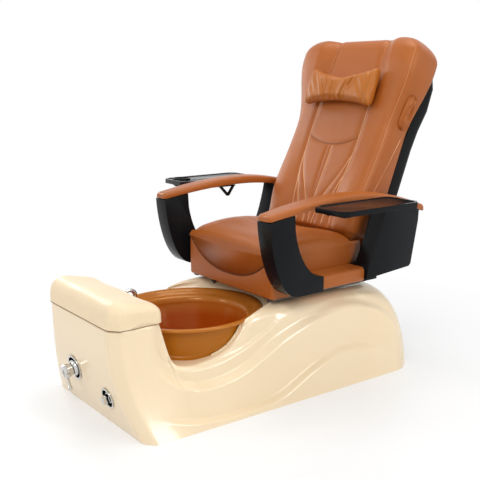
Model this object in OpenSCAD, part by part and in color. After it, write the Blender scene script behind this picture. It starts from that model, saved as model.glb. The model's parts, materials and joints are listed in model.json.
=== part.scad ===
// Pedicure spa chair: a massage chair on slides over a moulded base with a foot bowl, a footrest,
// a mixer tap and a water jet.
// Millimetres. The origin is on the floor below the middle of the chair, the sitter looks along -Y,
// and the sitter's left hand is at +X. Inside place(), Y counts from the base's
// front face at the mixer.
// Inside at_back(), Z runs up the backrest from its hinge and +Y points out of its rear.

/* [Base] */
// Distance from the front face, at the mixer, to the base's rear edge
base_l = 1418; // [1380:1:1440]
// Width of the base at its rear
base_rear_w = 792; // [780:1:820]
// Width of the base at its front, at the floor
base_front_w = 740; // [728:1:752]
// Width of the footrest box at its top
box_w = 524; // [512:1:536]
// Height of the deck that carries the seat
deck_h = 380; // [374:1:386]
// Height of the footrest box, without its pad
box_h = 390; // [386:1:400]
// Distance from the front face, at the mixer, to the rear of the footrest box
box_d = 128; // [124:1:134]
// How far the front face draws back at the floor
face_lean = 72; // [60:1:84]
// How far the top of the front face stands out in front of the mixer's height
face_out = 22; // [18:1:26]
// Wall of the moulded base shell
shell_t = 8; // [6:0.5:10]
// Height of the lowest point of the cut beside the bowl
cut_z = 247; // [240:1:262]
// Radius of the shell's rounded shoulders below the seat
shoulder_r = 70; // [50:1:80]
// Height of a levelling foot's pad
foot_h = 12; // [8:1:18]
// Side of the square steel tube of the base frame
tube = 30; // [24:1:34]

/* [Bowl] */
// Outer radius of the bowl's rim
rim_r = 292; // [284:1:296]
// Height of the rim's top above the floor
rim_z = 345; // [338:1:352]
// Distance from the front face to the middle of the bowl
bowl_y = 441; // [438:1:452]
// Inside depth of the bowl
bowl_depth = 220; // [200:1:230]
// Radius of the basin where the sloping rim meets its wall
neck_r = 230; // [215:1:240]
// Wall of the bowl
bowl_t = 7; // [5:0.5:9]

/* [Footrest] */
// Width of the footrest pad
pad_w = 540; // [524:1:550]
// Depth of the footrest pad
pad_d = 200; // [190:1:206]
// Height of the footrest pad
pad_h = 112; // [95:1:125]
// Depth of the two saddles for the legs
pad_saddle = 8; // [4:1:12]

/* [Seat] */
// Width of the seat
seat_w = 578; // [570:1:586]
// Distance from the base's front face to the seat's front
seat_front = 662; // [655:1:675]
// Depth of the seat
seat_l = 462; // [450:1:466]
// Height of the upholstered skirt at the sides
skirt_h = 82; // [78:1:90]
// Height of the seat cushion at its crest
cushion_h = 166; // [150:1:175]
// How far the seat slides towards the bowl
slide_front = 50; // [30:1:60]
// How far the seat slides to the rear
slide_rear = 90; // [60:1:95]

/* [Arms] */
// Width of an arm pad
arm_w = 93; // [86:1:98]
// Gap between the seat's side and an arm pad's inner edge
arm_gap = 20; // [18:1:26]
// Height of an arm pad's underside at its highest point, above the seat's underside
arm_rise = 367; // [350:1:380]
// Length of an arm pad
arm_l = 860; // [830:1:890]
// Thickness of an arm pad
arm_t = 36; // [30:1:40]

/* [Trays] */
// Length of a tray
tray_l = 415; // [380:1:440]
// Width of a tray
tray_w = 178; // [160:1:190]
// Thickness of a tray
tray_t = 20; // [16:1:24]
// Radius of the cup holder's hole
cup_r = 36; // [32:1:40]
// Depth of the cup holder below the tray's top
cup_depth = 34; // [26:1:44]

/* [Backrest] */
// Length of the backrest from its hinge to its top edge
back_l = 950; // [930:1:970]
// Lean of the backrest from upright, at rest
back_tilt = 22; // [20:0.5:24]
// Width of the backrest at the waist
waist_w = 574; // [566:1:580]
// Width of the backrest at the shoulders
head_w = 690; // [660:1:710]
// How far the backrest reclines from rest, in degrees
recline = 33; // [25:1:35]

/* [Pillow] */
// Width of the head pillow
pillow_w = 404; // [380:1:420]
// Height of the head pillow
pillow_h = 164; // [150:1:176]
// Thickness of the head pillow
pillow_t = 66; // [54:1:76]

/* [Water fittings] */
// Radius of the mixer's recessed cup
mixer_r = 45; // [40:1:48]
// Radius of the diverter's recessed cup
diverter_r = 36; // [32:1:40]
// Radius of the drain hole in the bowl's floor
drain_r = 26; // [22:1:28]
// Radius of the jet's cover
jet_r = 42; // [38:1:46]
// Outer radius of the drain pipe
pipe_r = 15; // [12:1:16]

/* [Hidden] */

// Clearances
gap = 0.3;          // between pieces that rest on each other
run = 0.08;         // radial, between a shaft and its bore
fit = 1;            // round a panel in its opening
bowl_gap = 2;       // between the bowl and the deck around it

// Colours
cream = [0.96, 0.88, 0.75];
leather = [0.70, 0.42, 0.25];
amber = [0.68, 0.36, 0.10];
black = [0.10, 0.11, 0.12];
chrome = [0.80, 0.81, 0.83];
steel = [0.45, 0.47, 0.50];
wood = [0.72, 0.58, 0.40];

$fn = 48;

module place() {
    translate([0, -mid_y, 0]) children();
}

module sided(s) {
    mirror([s < 0 ? 1 : 0, 0, 0]) children();
}

// ---------- curves and skins ----------

// Points on a cubic curve from a to d, without its last point
function bez(a, b, c, d, n) = [for (i = [0:n - 1]) let (t = i / n, u = 1 - t)
    u * u * u * a + 3 * u * u * t * b + 3 * u * t * t * c + t * t * t * d];

function arc(c, r, a0, a1, n) = [for (i = [0:n]) let (t = a0 + (a1 - a0) * i / n)
    c + r * [cos(t), sin(t)]];

// 0 below a, 1 above b, and a smooth step between them
function ease(x, a, b) = let (t = min(1, max(0, (x - a) / (b - a)))) t * t * (3 - 2 * t);

function bump(x, mid, half) = exp(-pow((x - mid) / half, 2));

// Section that is flat below and boxy round above, from its right end to its left end
function dome(half, h, p, n) = [for (i = [0:n]) let (t = 180 * i / n)
    [half * sign(cos(t)) * pow(abs(cos(t)), p), h * pow(sin(t), p)]];

// Stations along a length with round ends: [place, how far the section draws in]
function stations(len, r, n_end, n_mid) = concat(
    [for (i = [0:n_end - 1]) let (a = 90 - 90 * i / n_end)
        [-len / 2 + r - r * sin(a), r - r * cos(a)]],
    [for (i = [0:n_mid]) [-len / 2 + r + (len - 2 * r) * i / n_mid, 0]],
    [for (i = [1:n_end]) let (a = 90 * i / n_end) [len / 2 - r + r * sin(a), r - r * cos(a)]]);

function middle(ring) = [for (k = [0:2]) let (v = [for (p = ring) p[k]]) (min(v) + max(v)) / 2];

// Closed skin over rings that all have the same number of points
module loft(rings) {
    n = len(rings[0]);
    m = len(rings);
    polyhedron(
        points = concat([for (r = rings) each r], [middle(rings[0]), middle(rings[m - 1])]),
        faces = concat(
            [for (i = [0:m - 2], j = [0:n - 1])
                [i * n + j, i * n + (j + 1) % n, (i + 1) * n + (j + 1) % n]],
            [for (i = [0:m - 2], j = [0:n - 1])
                [i * n + j, (i + 1) * n + (j + 1) % n, (i + 1) * n + j]],
            [for (j = [0:n - 1]) [m * n, (j + 1) % n, j]],
            [for (j = [0:n - 1]) [m * n + 1, (m - 1) * n + j, (m - 1) * n + (j + 1) % n]]));
}

// Extrudes a profile drawn in Y and Z along X, from x0 to x1
module along_x(x0, x1) {
    translate([x0, 0, 0]) rotate([90, 0, 90]) linear_extrude(x1 - x0) children();
}

module box(low, high) {
    translate(low) cube(high - low);
}

module rod_x(x0, x1, y, z, r) {
    translate([x0, y, z]) rotate([0, 90, 0]) cylinder(r = r, h = x1 - x0);
}

module rod_y(x, y0, y1, z, r) {
    translate([x, y0, z]) rotate([-90, 0, 0]) cylinder(r = r, h = y1 - y0);
}

slice_t = 0.2;      // thickness of a slice that a shell is skinned over

// ---------- base ----------

tail_h = 420;       // height at which the rounded rear would close
tail_l = 340;       // how far the rounded rear reaches back at the floor
front_corner_r = 80;
flare_bend = 2.2;   // how late the footrest box flares towards the floor
rear_corner_r = 140;
side_taper = 10;    // how much narrower each side is at the rear of the deck
rise_l = 250;       // length of the cut's rise behind its lowest point

// 0 at the top of the footrest box and 1 at the floor
function flare(z) = pow(max(0, 1 - z / box_h), flare_bend);
function face_y(z) = face_lean * flare(z) - face_out;
function face_tilt(z) = atan(face_lean * flare_bend / box_h * pow(1 - z / box_h, flare_bend - 1));
function tail_y(z) = base_l - tail_l * (1 - sqrt(1 - pow(z / tail_h, 2)));
function shoulder(z) = let (d = min(z, deck_h) - deck_h + shoulder_r)
    d > 0 ? shoulder_r - sqrt(max(0, shoulder_r * shoulder_r - d * d)) : 0;
function rear_half(z) = base_rear_w / 2 - side_taper * z / deck_h - shoulder(z);
function front_half(z) = box_w / 2 + (base_front_w - box_w) / 2 * flare(z);

// Plan outline of the base at a height, drawn in by e
function base_outline(z, e) = let (
    f = front_half(z) - front_corner_r,
    r = rear_half(z) - rear_corner_r,
    y0 = face_y(z) + front_corner_r,
    y1 = tail_y(z) - rear_corner_r)
    concat(arc([f, y0], front_corner_r - e, -90, 0, 8), arc([r, y1], rear_corner_r - e, 0, 90, 8),
        arc([-r, y1], rear_corner_r - e, 90, 180, 8), arc([-f, y0], front_corner_r - e, 180, 270, 8));

base_levels = concat([for (k = [0, 0.05, 0.1, 0.16, 0.24, 0.32, 0.42, 0.52, 0.63]) k * deck_h],
    [for (a = [0, 22, 45, 62, 78]) deck_h - shoulder_r + shoulder_r * sin(a)], [deck_h, box_h]);

module base_slice(z, e) {
    translate([0, 0, z]) linear_extrude(slice_t) polygon(base_outline(z, e));
}

module base_form(e) {
    for (i = [0:len(base_levels) - 2])
        hull() {
            base_slice(base_levels[i], e);
            base_slice(base_levels[i + 1], e);
        }
}

// Side view of the base: the footrest box, the cut beside the bowl, and the deck
module base_side(e) {
    low = [box_d + 112, cut_z];
    lip = [low[0] + rise_l, rim_z - 8];
    offset(delta = -e) polygon(concat(
        [[-60, -60], [-60, box_h]],
        bez([box_d, box_h], [box_d + 22, box_h - 60], [low[0] - 62, cut_z], low, 12),
        bez(low, [low[0] + 130, cut_z], [lip[0] - 40, lip[1] - 46], lip, 10),
        bez(lip, [lip[0] + 32, lip[1] + 34], [lip[0] + 100, deck_h], [lip[0] + 190, deck_h], 8),
        [[lip[0] + 190, deck_h], [base_l + 60, deck_h], [base_l + 60, -60]]));
}

// Sets its children at the front face, with Z along the face's outward normal
module on_face(x, z) {
    translate([x, face_y(z), z]) rotate([90 + face_tilt(z), 0, 0]) children();
}

// The space for the bowl: a bore round its skirt, a ledge below its rim, and a slope behind it.
// Grown by e, it is the wall that the shell turns down round the bowl
module bowl_well(e) {
    ledge = rim_z - rim_t - gap - e;
    foot = skirt_z - shell_t - 1 + e;
    translate([0, bowl_y, 0]) {
        rotate_extrude($fn = 96) polygon([[0, foot], [skirt_r + bowl_gap + e, foot],
            [rim_r - rim_roll + bowl_gap + e, ledge], [rim_r + bowl_gap + e, ledge],
            [rim_r + bowl_gap + e, box_h + 1], [0, box_h + 1]]);
        rotate_extrude(angle = 180, $fn = 96) polygon([[rim_r - rim_roll, rim_z - e],
            [rim_r + bowl_gap + e, rim_z - e], [rim_r + bowl_gap + e + well_slope, rim_z - e + well_slope],
            [rim_r - rim_roll, rim_z - e + well_slope]]);
    }
}

well_slope = 52;    // rise of the slope behind the bowl

mixer_x = -82;
mixer_z = 170;
diverter_x = 158;
diverter_z = 124;
board_half = pad_w / 2 - 60;
board_y = [26, box_d - 16];

module base_shell() place() color(cream) difference() {
    intersection() {
        base_form(0);
        along_x(-base_rear_w, base_rear_w) base_side(0);
    }
    difference() {
        intersection() {
            union() {
                base_form(shell_t);
                translate([0, 0, -1]) base_slice(0, shell_t);
            }
            along_x(-base_rear_w, base_rear_w) base_side(shell_t);
        }
        bowl_well(shell_t);
    }
    bowl_well(0);
    box([-board_half - fit, board_y[0] - fit, box_h - 20], [board_half + fit, board_y[1] + fit, box_h + 1]);
    on_face(mixer_x, mixer_z) cup_seat(mixer_r);
    on_face(diverter_x, diverter_z) cup_seat(diverter_r);
    service_opening();
}

// A cup's hole, and the flat that its flange rests on in the curved face
module cup_seat(r) {
    cylinder(r = r + gap, h = cup_sunk * 2, center = true);
    cylinder(r = r + flange_w + fit, h = cup_sunk);
}

service_w = 140;    // opening at the rear for the hoses and the mains lead
service_h = 130;
service_r = 20;

module service_opening() translate([pipe_x, base_l + 1, 0]) rotate([90, 0, 0])
    linear_extrude(service_h / 2) polygon(concat([[-service_w / 2, -1], [service_w / 2, -1]],
        arc([service_w / 2 - service_r, service_h - service_r], service_r, 0, 90, 5),
        arc([service_r - service_w / 2, service_h - service_r], service_r, 90, 180, 5)));

frame_x = 240;      // the frame's lower rails stand this far to each side
beam_x = 200;       // the beams and the slides above them
frame_y = [150, base_l - 160];
beam_y = [seat_front + 60, frame_y[1] - 38];
post_y = [beam_y[0] + 60, beam_y[1] - 90];
rail_y = [beam_y[0] - 16, beam_y[1]];
frame_z = foot_h + 8;
leg_x = board_half - tube / 2;  // the frame's two legs below the footrest
leg_y = board_y[0] + 60;

module tube_y(x, y0, y1, z) box([x - tube / 2, y0, z], [x + tube / 2, y1, z + tube]);
module tube_x(x0, x1, y, z) box([x0, y, z], [x1, y + tube, z + tube]);
module tube_z(x, y, z0, z1) box([x - tube / 2, y, z0], [x + tube / 2, y + tube, z1]);

foot_places = [for (s = [-1, 1], y = [frame_y[0] + tube / 2, frame_y[1] - tube / 2]) [s * frame_x, y]];

module base_frame() place() color(steel) difference() {
    union() {
        for (s = [-1, 1]) {
            tube_y(s * frame_x, frame_y[0], frame_y[1], frame_z);
            tube_y(s * beam_x, beam_y[0], beam_y[1], deck_h - shell_t - gap - tube);
            for (y = post_y) tube_z(s * beam_x, y, frame_z, deck_h - shell_t - gap - tube);
            tube_z(s * leg_x, leg_y, frame_z, box_h - board_t - gap);
            tube_y(s * leg_x, leg_y, frame_y[0] + 1, frame_z);
        }
        for (y = [frame_y[0], post_y[0], post_y[1], frame_y[1] - tube])
            tube_x(-frame_x - tube / 2, frame_x + tube / 2, y, frame_z);
    }
    for (p = foot_places) translate([p[0], p[1], 0]) cylinder(r = stem_r + run, h = box_h / 2);
}

stem_r = 6;
foot_r = 22;

module levelling_feet() place() color(black) for (p = foot_places) translate([p[0], p[1], 0]) {
    cylinder(r = foot_r, h = foot_h);
    cylinder(r = stem_r, h = frame_z + tube + stem_r);
    translate([0, 0, foot_h]) cylinder(r = stem_r + 4, h = frame_z - foot_h - gap, $fn = 6);
}

board_t = 12;

module footrest_board() place() color(wood)
    box([-board_half, board_y[0], box_h - board_t], [board_half, board_y[1], box_h]);

pad_over = face_out + 8;     // the pad overhangs the box by a little
pad_end = 30;       // radius of the pad's ends

module footrest_pad() place() color(cream)
    loft([for (s = stations(pad_w, pad_end, 5, 14))
        let (saddle = pad_saddle * (bump(s[0], pad_w * 0.21, 70) + bump(s[0], -pad_w * 0.21, 70)))
        [for (q = dome(pad_d / 2 - s[1], pad_h - s[1] - saddle, 0.42, 22))
            [s[0], pad_d / 2 - pad_over + q[0], box_h + gap + q[1]]]]);

// ---------- bowl and its fittings ----------

rim_t = 13;         // height of the rolled rim
rim_roll = 16;      // how far the rim stands out from the bowl's outer wall
skirt_r = rim_r - 32;
skirt_z = cut_z - 24;
floor_z = rim_z - bowl_depth;
basin_r = neck_r - 42;
jet_y = bowl_y + 90;
drain_y = bowl_y - 80;
spout_x = -42;
spout_y = bowl_y - rim_r + 43;
spout_base_r = 20;

module bowl() place() color(amber) difference() {
    union() {
        translate([0, bowl_y, 0]) rotate_extrude($fn = 96) polygon(concat(
            [[0, floor_z - bowl_t], [basin_r - 14, floor_z - bowl_t],
                [basin_r + bowl_t, floor_z + 14], [neck_r + bowl_t, rim_z - 46],
                [rim_r - rim_roll - bowl_t, rim_z - rim_t - bowl_t],
                [skirt_r - bowl_t, skirt_z], [skirt_r, skirt_z],
                [rim_r - rim_roll, rim_z - rim_t]],
            arc([rim_r - rim_t / 2, rim_z - rim_t / 2], rim_t / 2, -90, 90, 6),
            [[neck_r + 14, rim_z - 28], [neck_r, rim_z - 42], [basin_r, floor_z + 24],
                [basin_r - 22, floor_z], [0, floor_z]]));
        translate([spout_x, spout_y, rim_z - 40]) cylinder(r = spout_base_r + 3, h = 40);
    }
    translate([0, drain_y, 0]) cylinder(r = drain_r + gap, h = rim_z);
    translate([0, jet_y, 0]) cylinder(r = housing_r + gap, h = rim_z);
    translate([spout_x, spout_y, 0]) cylinder(r = spout_r + run, h = rim_z + 1);
}

strainer_h = 30;    // how far the strainer reaches below the floor
strainer_t = 4;
strainer_floor = 12;
strainer_hole_r = 3.5;
stopper_r = drain_r + strainer_t;
stopper_t = 4;

module drain_strainer() place() color(chrome) translate([0, drain_y, floor_z]) difference() {
    union() {
        translate([0, 0, gap]) cylinder(r = stopper_r + 5, h = flange_t);
        translate([0, 0, -strainer_h]) cylinder(r = drain_r, h = strainer_h + 2);
    }
    translate([0, 0, strainer_floor - strainer_h]) cylinder(r = drain_r - strainer_t, h = strainer_h);
    for (a = [0:60:300]) rotate([0, 0, a])
        translate([drain_r / 2, 0, -strainer_h - 1]) cylinder(r = strainer_hole_r, h = 2 * strainer_floor);
    translate([0, 0, -strainer_h - 1]) cylinder(r = stopper_t + run, h = 2 * strainer_floor);
}

// The stopper's stem is as thick as its cap
module drain_stopper() place() color(chrome) translate([0, drain_y, floor_z]) {
    translate([0, 0, flange_t + 2 * gap]) cylinder(r = stopper_r, h = stopper_t);
    translate([0, 0, -strainer_h - stopper_t]) cylinder(r = stopper_t, h = strainer_h + 2 * stopper_t);
}

pipe_x = 122;
pipe_z = floor_z - strainer_h - pipe_r - 6;
pipe_t = 3;
pipe_end = frame_y[1] + 5;
spigot_l = 45;      // length of the hose spigot at the pipe's end
spigot_r = pipe_r - 1;

module pipe_run(r) {
    translate([0, drain_y, pipe_z]) cylinder(r = r, h = floor_z - strainer_h - pipe_z - gap);
    translate([0, drain_y, pipe_z]) sphere(r = r);
    rod_x(0, pipe_x, drain_y, pipe_z, r);
    translate([pipe_x, drain_y, pipe_z]) sphere(r = r);
    rod_y(pipe_x, drain_y, pipe_end, pipe_z, r);
}

module drain_pipe() place() color("white") difference() {
    union() {
        pipe_run(pipe_r);
        rod_y(pipe_x, pipe_end - 1, pipe_end + spigot_l, pipe_z, spigot_r);
        translate([0, drain_y, floor_z - strainer_h - gap - strainer_floor])
            cylinder(r = drain_r, h = strainer_floor);
    }
    pipe_run(pipe_r - pipe_t);
    translate([0, drain_y, floor_z - strainer_h - gap - strainer_floor + strainer_t])
        cylinder(r = drain_r - strainer_t, h = strainer_h);
    rod_y(pipe_x, pipe_end - 1, pipe_end + spigot_l + 1, pipe_z, pipe_r - pipe_t);
}

flange_t = 3;       // flanges that rest on the bowl's floor or on the front face
housing_h = 30;     // how far the jet's housing reaches below the floor
housing_r = jet_r - 12;
housing_t = 4;
cover_h = 22;
cover_t = 3;

module jet_housing() place() color(black) translate([0, jet_y, floor_z]) difference() {
    union() {
        translate([0, 0, gap]) cylinder(r = jet_r, h = flange_t);
        translate([0, 0, -housing_h]) cylinder(r = housing_r, h = housing_h + 2);
    }
    translate([0, 0, housing_t - housing_h]) cylinder(r = housing_r - housing_t, h = 2 * housing_h);
}

impeller_r = housing_r - housing_t - 3;
hub_r = 6;
blade_t = 2;
blade_h = 11;

module jet_impeller() place() color("white")
    translate([0, jet_y, floor_z - housing_h + housing_t + gap]) {
        cylinder(r = impeller_r, h = hub_r);
        cylinder(r = hub_r, h = 3 * hub_r);
        for (a = [0:72:288]) rotate([0, 0, a])
            translate([hub_r / 2, -blade_t / 2, hub_r - 1]) cube([impeller_r - hub_r, blade_t, blade_h]);
    }

slot_w = 4;

module jet_cover() place() color(chrome) translate([0, jet_y, floor_z + flange_t + 2 * gap]) difference() {
    cylinder(r = jet_r, h = cover_h);
    translate([0, 0, -1]) cylinder(r = jet_r - cover_t, h = cover_h - cover_t);
    translate([0, 0, cover_h / 2]) cylinder(r = jet_r / 6, h = cover_h);
    for (a = [0:45:315]) rotate([0, 0, a])
        translate([jet_r / 3, -slot_w / 2, cover_h / 2]) cube([jet_r * 0.43, slot_w, cover_h]);
    for (a = [22:45:337]) rotate([0, 0, a])
        translate([jet_r - 2 * slot_w, -slot_w, cover_h / 4]) cube([jet_r / 2, 2 * slot_w, 2 * slot_w]);
}

module jet_motor() place() color(steel) translate([0, jet_y, floor_z - housing_h]) {
    translate([0, 0, -motor_plate - gap]) cylinder(r = jet_r, h = motor_plate);
    translate([0, 0, -motor_h - gap]) cylinder(r = jet_r - 8, h = motor_h - motor_plate + 1);
}

motor_plate = 6;
motor_h = 34;

spout_r = 9;
spout_top = rim_z + 92;
spout_bend = 26;    // radius of the spout's bend
spout_leg = 16;
nozzle_h = 12;

module spout() place() color(chrome) translate([spout_x, spout_y, 0]) {
    translate([0, 0, rim_z + gap]) cylinder(r = spout_base_r, h = spout_base_r / 2);
    translate([0, 0, rim_z - spout_tail]) cylinder(r = spout_r, h = spout_top - rim_z + spout_tail);
    translate([0, spout_bend, spout_top]) rotate([90, 0, 90]) rotate_extrude(angle = 180)
        translate([spout_bend, 0]) circle(r = spout_r);
    translate([0, 2 * spout_bend, spout_top - spout_leg]) cylinder(r = spout_r, h = spout_leg);
    translate([0, 2 * spout_bend, spout_top - spout_leg - nozzle_h])
        cylinder(r = spout_r + 2.5, h = nozzle_h);
}

// A recessed cup whose open end lies in the front face
module face_cup(r, hole) difference() {
    union() {
        translate([0, 0, -cup_sunk]) cylinder(r = r, h = cup_sunk + 1);
        translate([0, 0, gap]) cylinder(r = r + flange_w, h = flange_t);
    }
    translate([0, 0, cup_t - cup_sunk]) cylinder(r = r - cup_t, h = 2 * cup_sunk);
    translate([0, 0, -cup_sunk - 1]) cylinder(r = hole + run, h = cup_sunk);
}

cup_sunk = 30;      // depth of the two cups in the front face
flange_w = 5;
cup_t = 3;
valve_l = 34;       // how far the mixer's valve reaches behind its cup
mixer_body_r = 19;
mixer_out = 24;     // how far the valve stands out of the face

module mixer_cup() place() color(black) on_face(mixer_x, mixer_z) face_cup(mixer_r, mixer_body_r);

module mixer_body() place() color(chrome) on_face(mixer_x, mixer_z) {
    translate([0, 0, -cup_sunk - valve_l]) cylinder(r = mixer_body_r, h = cup_sunk + valve_l + mixer_out);
    translate([0, 0, cup_t + gap - cup_sunk]) cylinder(r = mixer_body_r + 11, h = 5);
    translate([0, 0, mixer_out * 2 / 3]) cylinder(r = mixer_body_r + cup_t, h = mixer_out / 3);
}

cap_h = 24;
cap_r = mixer_body_r + 4;
lever_t = 9;
lever_l = 60;
lever_pin_r = 3;
grip_r = 6;

module mixer_cap() place() color(chrome) on_face(mixer_x, mixer_z) translate([0, 0, mixer_out + gap])
    difference() {
        cylinder(r = cap_r, h = cap_h);
        box([-lever_t / 2 - 1, -cap_r - 1, cap_h / 6], [lever_t / 2 + 1, cap_h / 3, cap_h + 1]);
        rod_x(-cap_r - 1, cap_r + 1, 0, cap_h / 2, lever_pin_r + run);
    }

module mixer_lever() place() color(chrome) on_face(mixer_x, mixer_z)
    translate([0, 0, mixer_out + gap + cap_h / 2]) {
        rod_x(lever_pin_r - cap_r, cap_r - lever_pin_r, 0, 0, lever_pin_r);
        rod_x(-lever_t / 2, lever_t / 2, 0, 0, lever_pin_r + 4);
        box([-lever_t / 2, -lever_l, -lever_pin_r], [lever_t / 2, 0, lever_pin_r + 1]);
        translate([0, -lever_l, 0.5]) rotate([90, 0, 0]) cylinder(r = grip_r, h = 2 * grip_r, center = true);
    }

module diverter_cup() place() color(black) on_face(diverter_x, diverter_z)
    face_cup(diverter_r, diverter_stem_r);

diverter_stem_r = 10;
collar_h = 14;
knob_r = diverter_r - 15;
knob_h = 35;
knob_base = 10;
knob_grip = 12;     // half the width across the knob's flats

module diverter_collar() place() color(chrome) on_face(diverter_x, diverter_z) {
    translate([0, 0, -cup_sunk - valve_l + 8]) cylinder(r = diverter_stem_r, h = valve_l);
    translate([0, 0, cup_t + gap - cup_sunk]) cylinder(r = knob_r + 3, h = collar_h);
}

knob_z = cup_t + collar_h + 2 * gap - cup_sunk;

module diverter_knob() place() color(chrome) on_face(diverter_x, diverter_z)
    translate([0, 0, knob_z]) difference() {
        union() {
            cylinder(r = knob_r, h = knob_base);
            cylinder(r = knob_r - 4, h = knob_h);
        }
        for (s = [-1, 1]) sided(s)
            box([knob_grip, -knob_r, knob_base + 4], [2 * knob_r, knob_r, knob_h + 1]);
    }

// Hot and cold water pipes, and the pipe from the mixer to the spout
module supply_pipes() place() color(steel) {
    lean = face_tilt(mixer_z);
    reach = cup_sunk + valve_l;
    y0 = face_y(mixer_z) + reach * cos(lean) + 2;
    y1 = y0 + 3 * supply_r;
    z = mixer_z + reach * sin(lean);
    r = supply_r;
    rod_y(mixer_x, y0, y1, z, r);
    rod_x(mixer_x - supply_w, mixer_x + supply_w, y1, z, r);
    for (x = [mixer_x - supply_w, mixer_x + supply_w]) {
        translate([x, y1, z]) sphere(r = r);
        translate([x, y1, frame_z + tube + r]) cylinder(r = r, h = z - frame_z - tube - r);
    }
    rod_y(spout_x, y1, spout_y, z, r);
    translate([spout_x, spout_y, z]) sphere(r = r);
    translate([spout_x, spout_y, z]) cylinder(r = r, h = rim_z - spout_tail - gap - z);
}

supply_r = 8;
supply_w = 44;      // from the valve to each of its two supplies
spout_tail = 62;    // how far the spout's stem reaches below the rim

control_x = [-110, 90];
control_h = 90;
control_plate = 6;

// The pump's and the valve's housing, on a plate across the frame's two rear tubes
module control_box() place() color(black) {
    z = frame_z + tube + gap;
    y = [post_y[1] + tube / 2, frame_y[1]];
    box([control_x[0], y[0] + tube, z], [control_x[1], y[1], z + control_h]);
    box([control_x[0] - 2 * control_plate, y[0], z], [control_x[1] + 2 * control_plate, y[1], z + control_plate]);
}

// ---------- slides ----------

rail_w = 40;
rail_h = 14;
rail_t = 2.5;
neck_w = 12;
seat_z = deck_h + 20;
runner_y = [rail_y[0] + slide_front + 36, rail_y[1] - slide_rear - 10];
bar_z = seat_z - 2;

module slide_rail(s) place() sided(s) color(steel) difference() {
    box([beam_x - rail_w / 2, rail_y[0], deck_h], [beam_x + rail_w / 2, rail_y[1], deck_h + rail_h]);
    box([beam_x - rail_w / 2 + rail_t, rail_y[0] - 1, deck_h + rail_t],
        [beam_x + rail_w / 2 - rail_t, rail_y[1] + 1, deck_h + rail_h - rail_t]);
    box([beam_x - neck_w / 2 - 1, rail_y[0] - 1, deck_h + rail_t],
        [beam_x + neck_w / 2 + 1, rail_y[1] + 1, deck_h + rail_h + 1]);
}

module slide_runner(s) place() sided(s) color(chrome) {
    box([beam_x - rail_w / 2 + rail_t + gap, runner_y[0], deck_h + rail_t + gap],
        [beam_x + rail_w / 2 - rail_t - gap, runner_y[1], deck_h + rail_h - rail_t - gap]);
    box([beam_x - neck_w / 2, runner_y[0], deck_h + rail_t + gap],
        [beam_x + neck_w / 2, runner_y[1], bar_z]);
}

module slide_rail_left() slide_rail(1);
module slide_rail_right() slide_rail(-1);
module slide_runner_left() slide_runner(1);
module slide_runner_right() slide_runner(-1);

// ---------- seat ----------

seat_half = seat_w / 2;
wall_t = 14;
hinge_y = seat_front + seat_l + 36;
hinge_z = seat_z + 100;
hinge_r = 30;       // half the width of a hinge plate
pin_r = 8;
plate_t = 8;
plate_x = seat_half - 27;       // inner face of the seat's hinge plates
pan_t = 12;
pan_z = seat_z + skirt_h - pan_t;
bolt_y = [seat_front + 215, seat_front + 365];
bolt_z = seat_z + 50;
bolt_r = 5;
leg = 24;
side_x = seat_half - wall_t - 3;
bar_y0 = seat_front + 140;      // the front one of the seat frame's cross bars
bar_w = 30;
clevis_y = bar_y0 + bar_w / 2;
clevis_x = 22;
clevis_r = 5;       // pin of the actuator's clevis

module seat_frame() place() color(black) difference() {
    union() {
        for (s = [-1, 1]) sided(s) {
            box([side_x - leg, seat_front + wall_t, seat_z - 10],
                [side_x, hinge_y + hinge_r + 10, seat_z + 10]);
            for (y = concat([seat_front + 70], bolt_y))
                box([side_x - leg, y - leg / 2, seat_z], [side_x, y + leg / 2, pan_z - gap]);
            box([plate_x, hinge_y - hinge_r, seat_z], [plate_x + plate_t, hinge_y + hinge_r, hinge_z + leg]);
            box([clevis_x, clevis_y - 7, seat_z], [clevis_x + plate_t, clevis_y + 7, act_z + plate_t]);
        }
        for (y = [bar_y0, bar_y0 + 140, bar_y0 + 258])
            box([1 - side_x, y, bar_z], [side_x - 1, y + bar_w, seat_z + 10]);
    }
    rod_x(-seat_w, seat_w, hinge_y, hinge_z, pin_r + run);
    rod_x(-2 * clevis_x, 2 * clevis_x, clevis_y, act_z, clevis_r + run);
    for (y = bolt_y) rod_x(-seat_w, seat_w, y, bolt_z, bolt_r + run);
}

module seat_pan() place() color(wood)
    box([-seat_half + wall_t + gap, seat_front + wall_t + 2 * gap, pan_z],
        [seat_half - wall_t - gap, seat_front + seat_l - gap, pan_z + pan_t]);

seam_low = 55;      // height of the front seam's lowest point above the seat's underside
seam_rise = 125;    // how much higher its ends are

function seam_z(x) = seat_z + seam_low + seam_rise * pow(abs(x) / seat_half, 2.5);

module seat_skirt() place() color(leather) difference() {
    union() {
        translate([0, seat_front + wall_t, 0]) rotate([90, 0, 0]) linear_extrude(wall_t)
            polygon(concat([[-seat_half, seat_z], [seat_half, seat_z]],
                [for (i = [20:-1:-20]) let (x = seat_half * i / 20) [x, seam_z(x) - gap]]));
        for (s = [-1, 1]) sided(s)
            box([seat_half - wall_t, seat_front + wall_t / 2, seat_z],
                [seat_half, seat_front + seat_l + 15, seat_z + skirt_h]);
    }
    for (y = bolt_y) rod_x(-seat_w, seat_w, y, bolt_z, bolt_r + run);
}

// Height of the cushion's top at a distance from its front, before its edges round off
function seat_top(d) = cushion_h - 30 * pow(max(0, 200 - d) / 200, 2)
    - 46 * pow(max(0, d - 200) / (seat_l - 200), 2);

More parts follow.
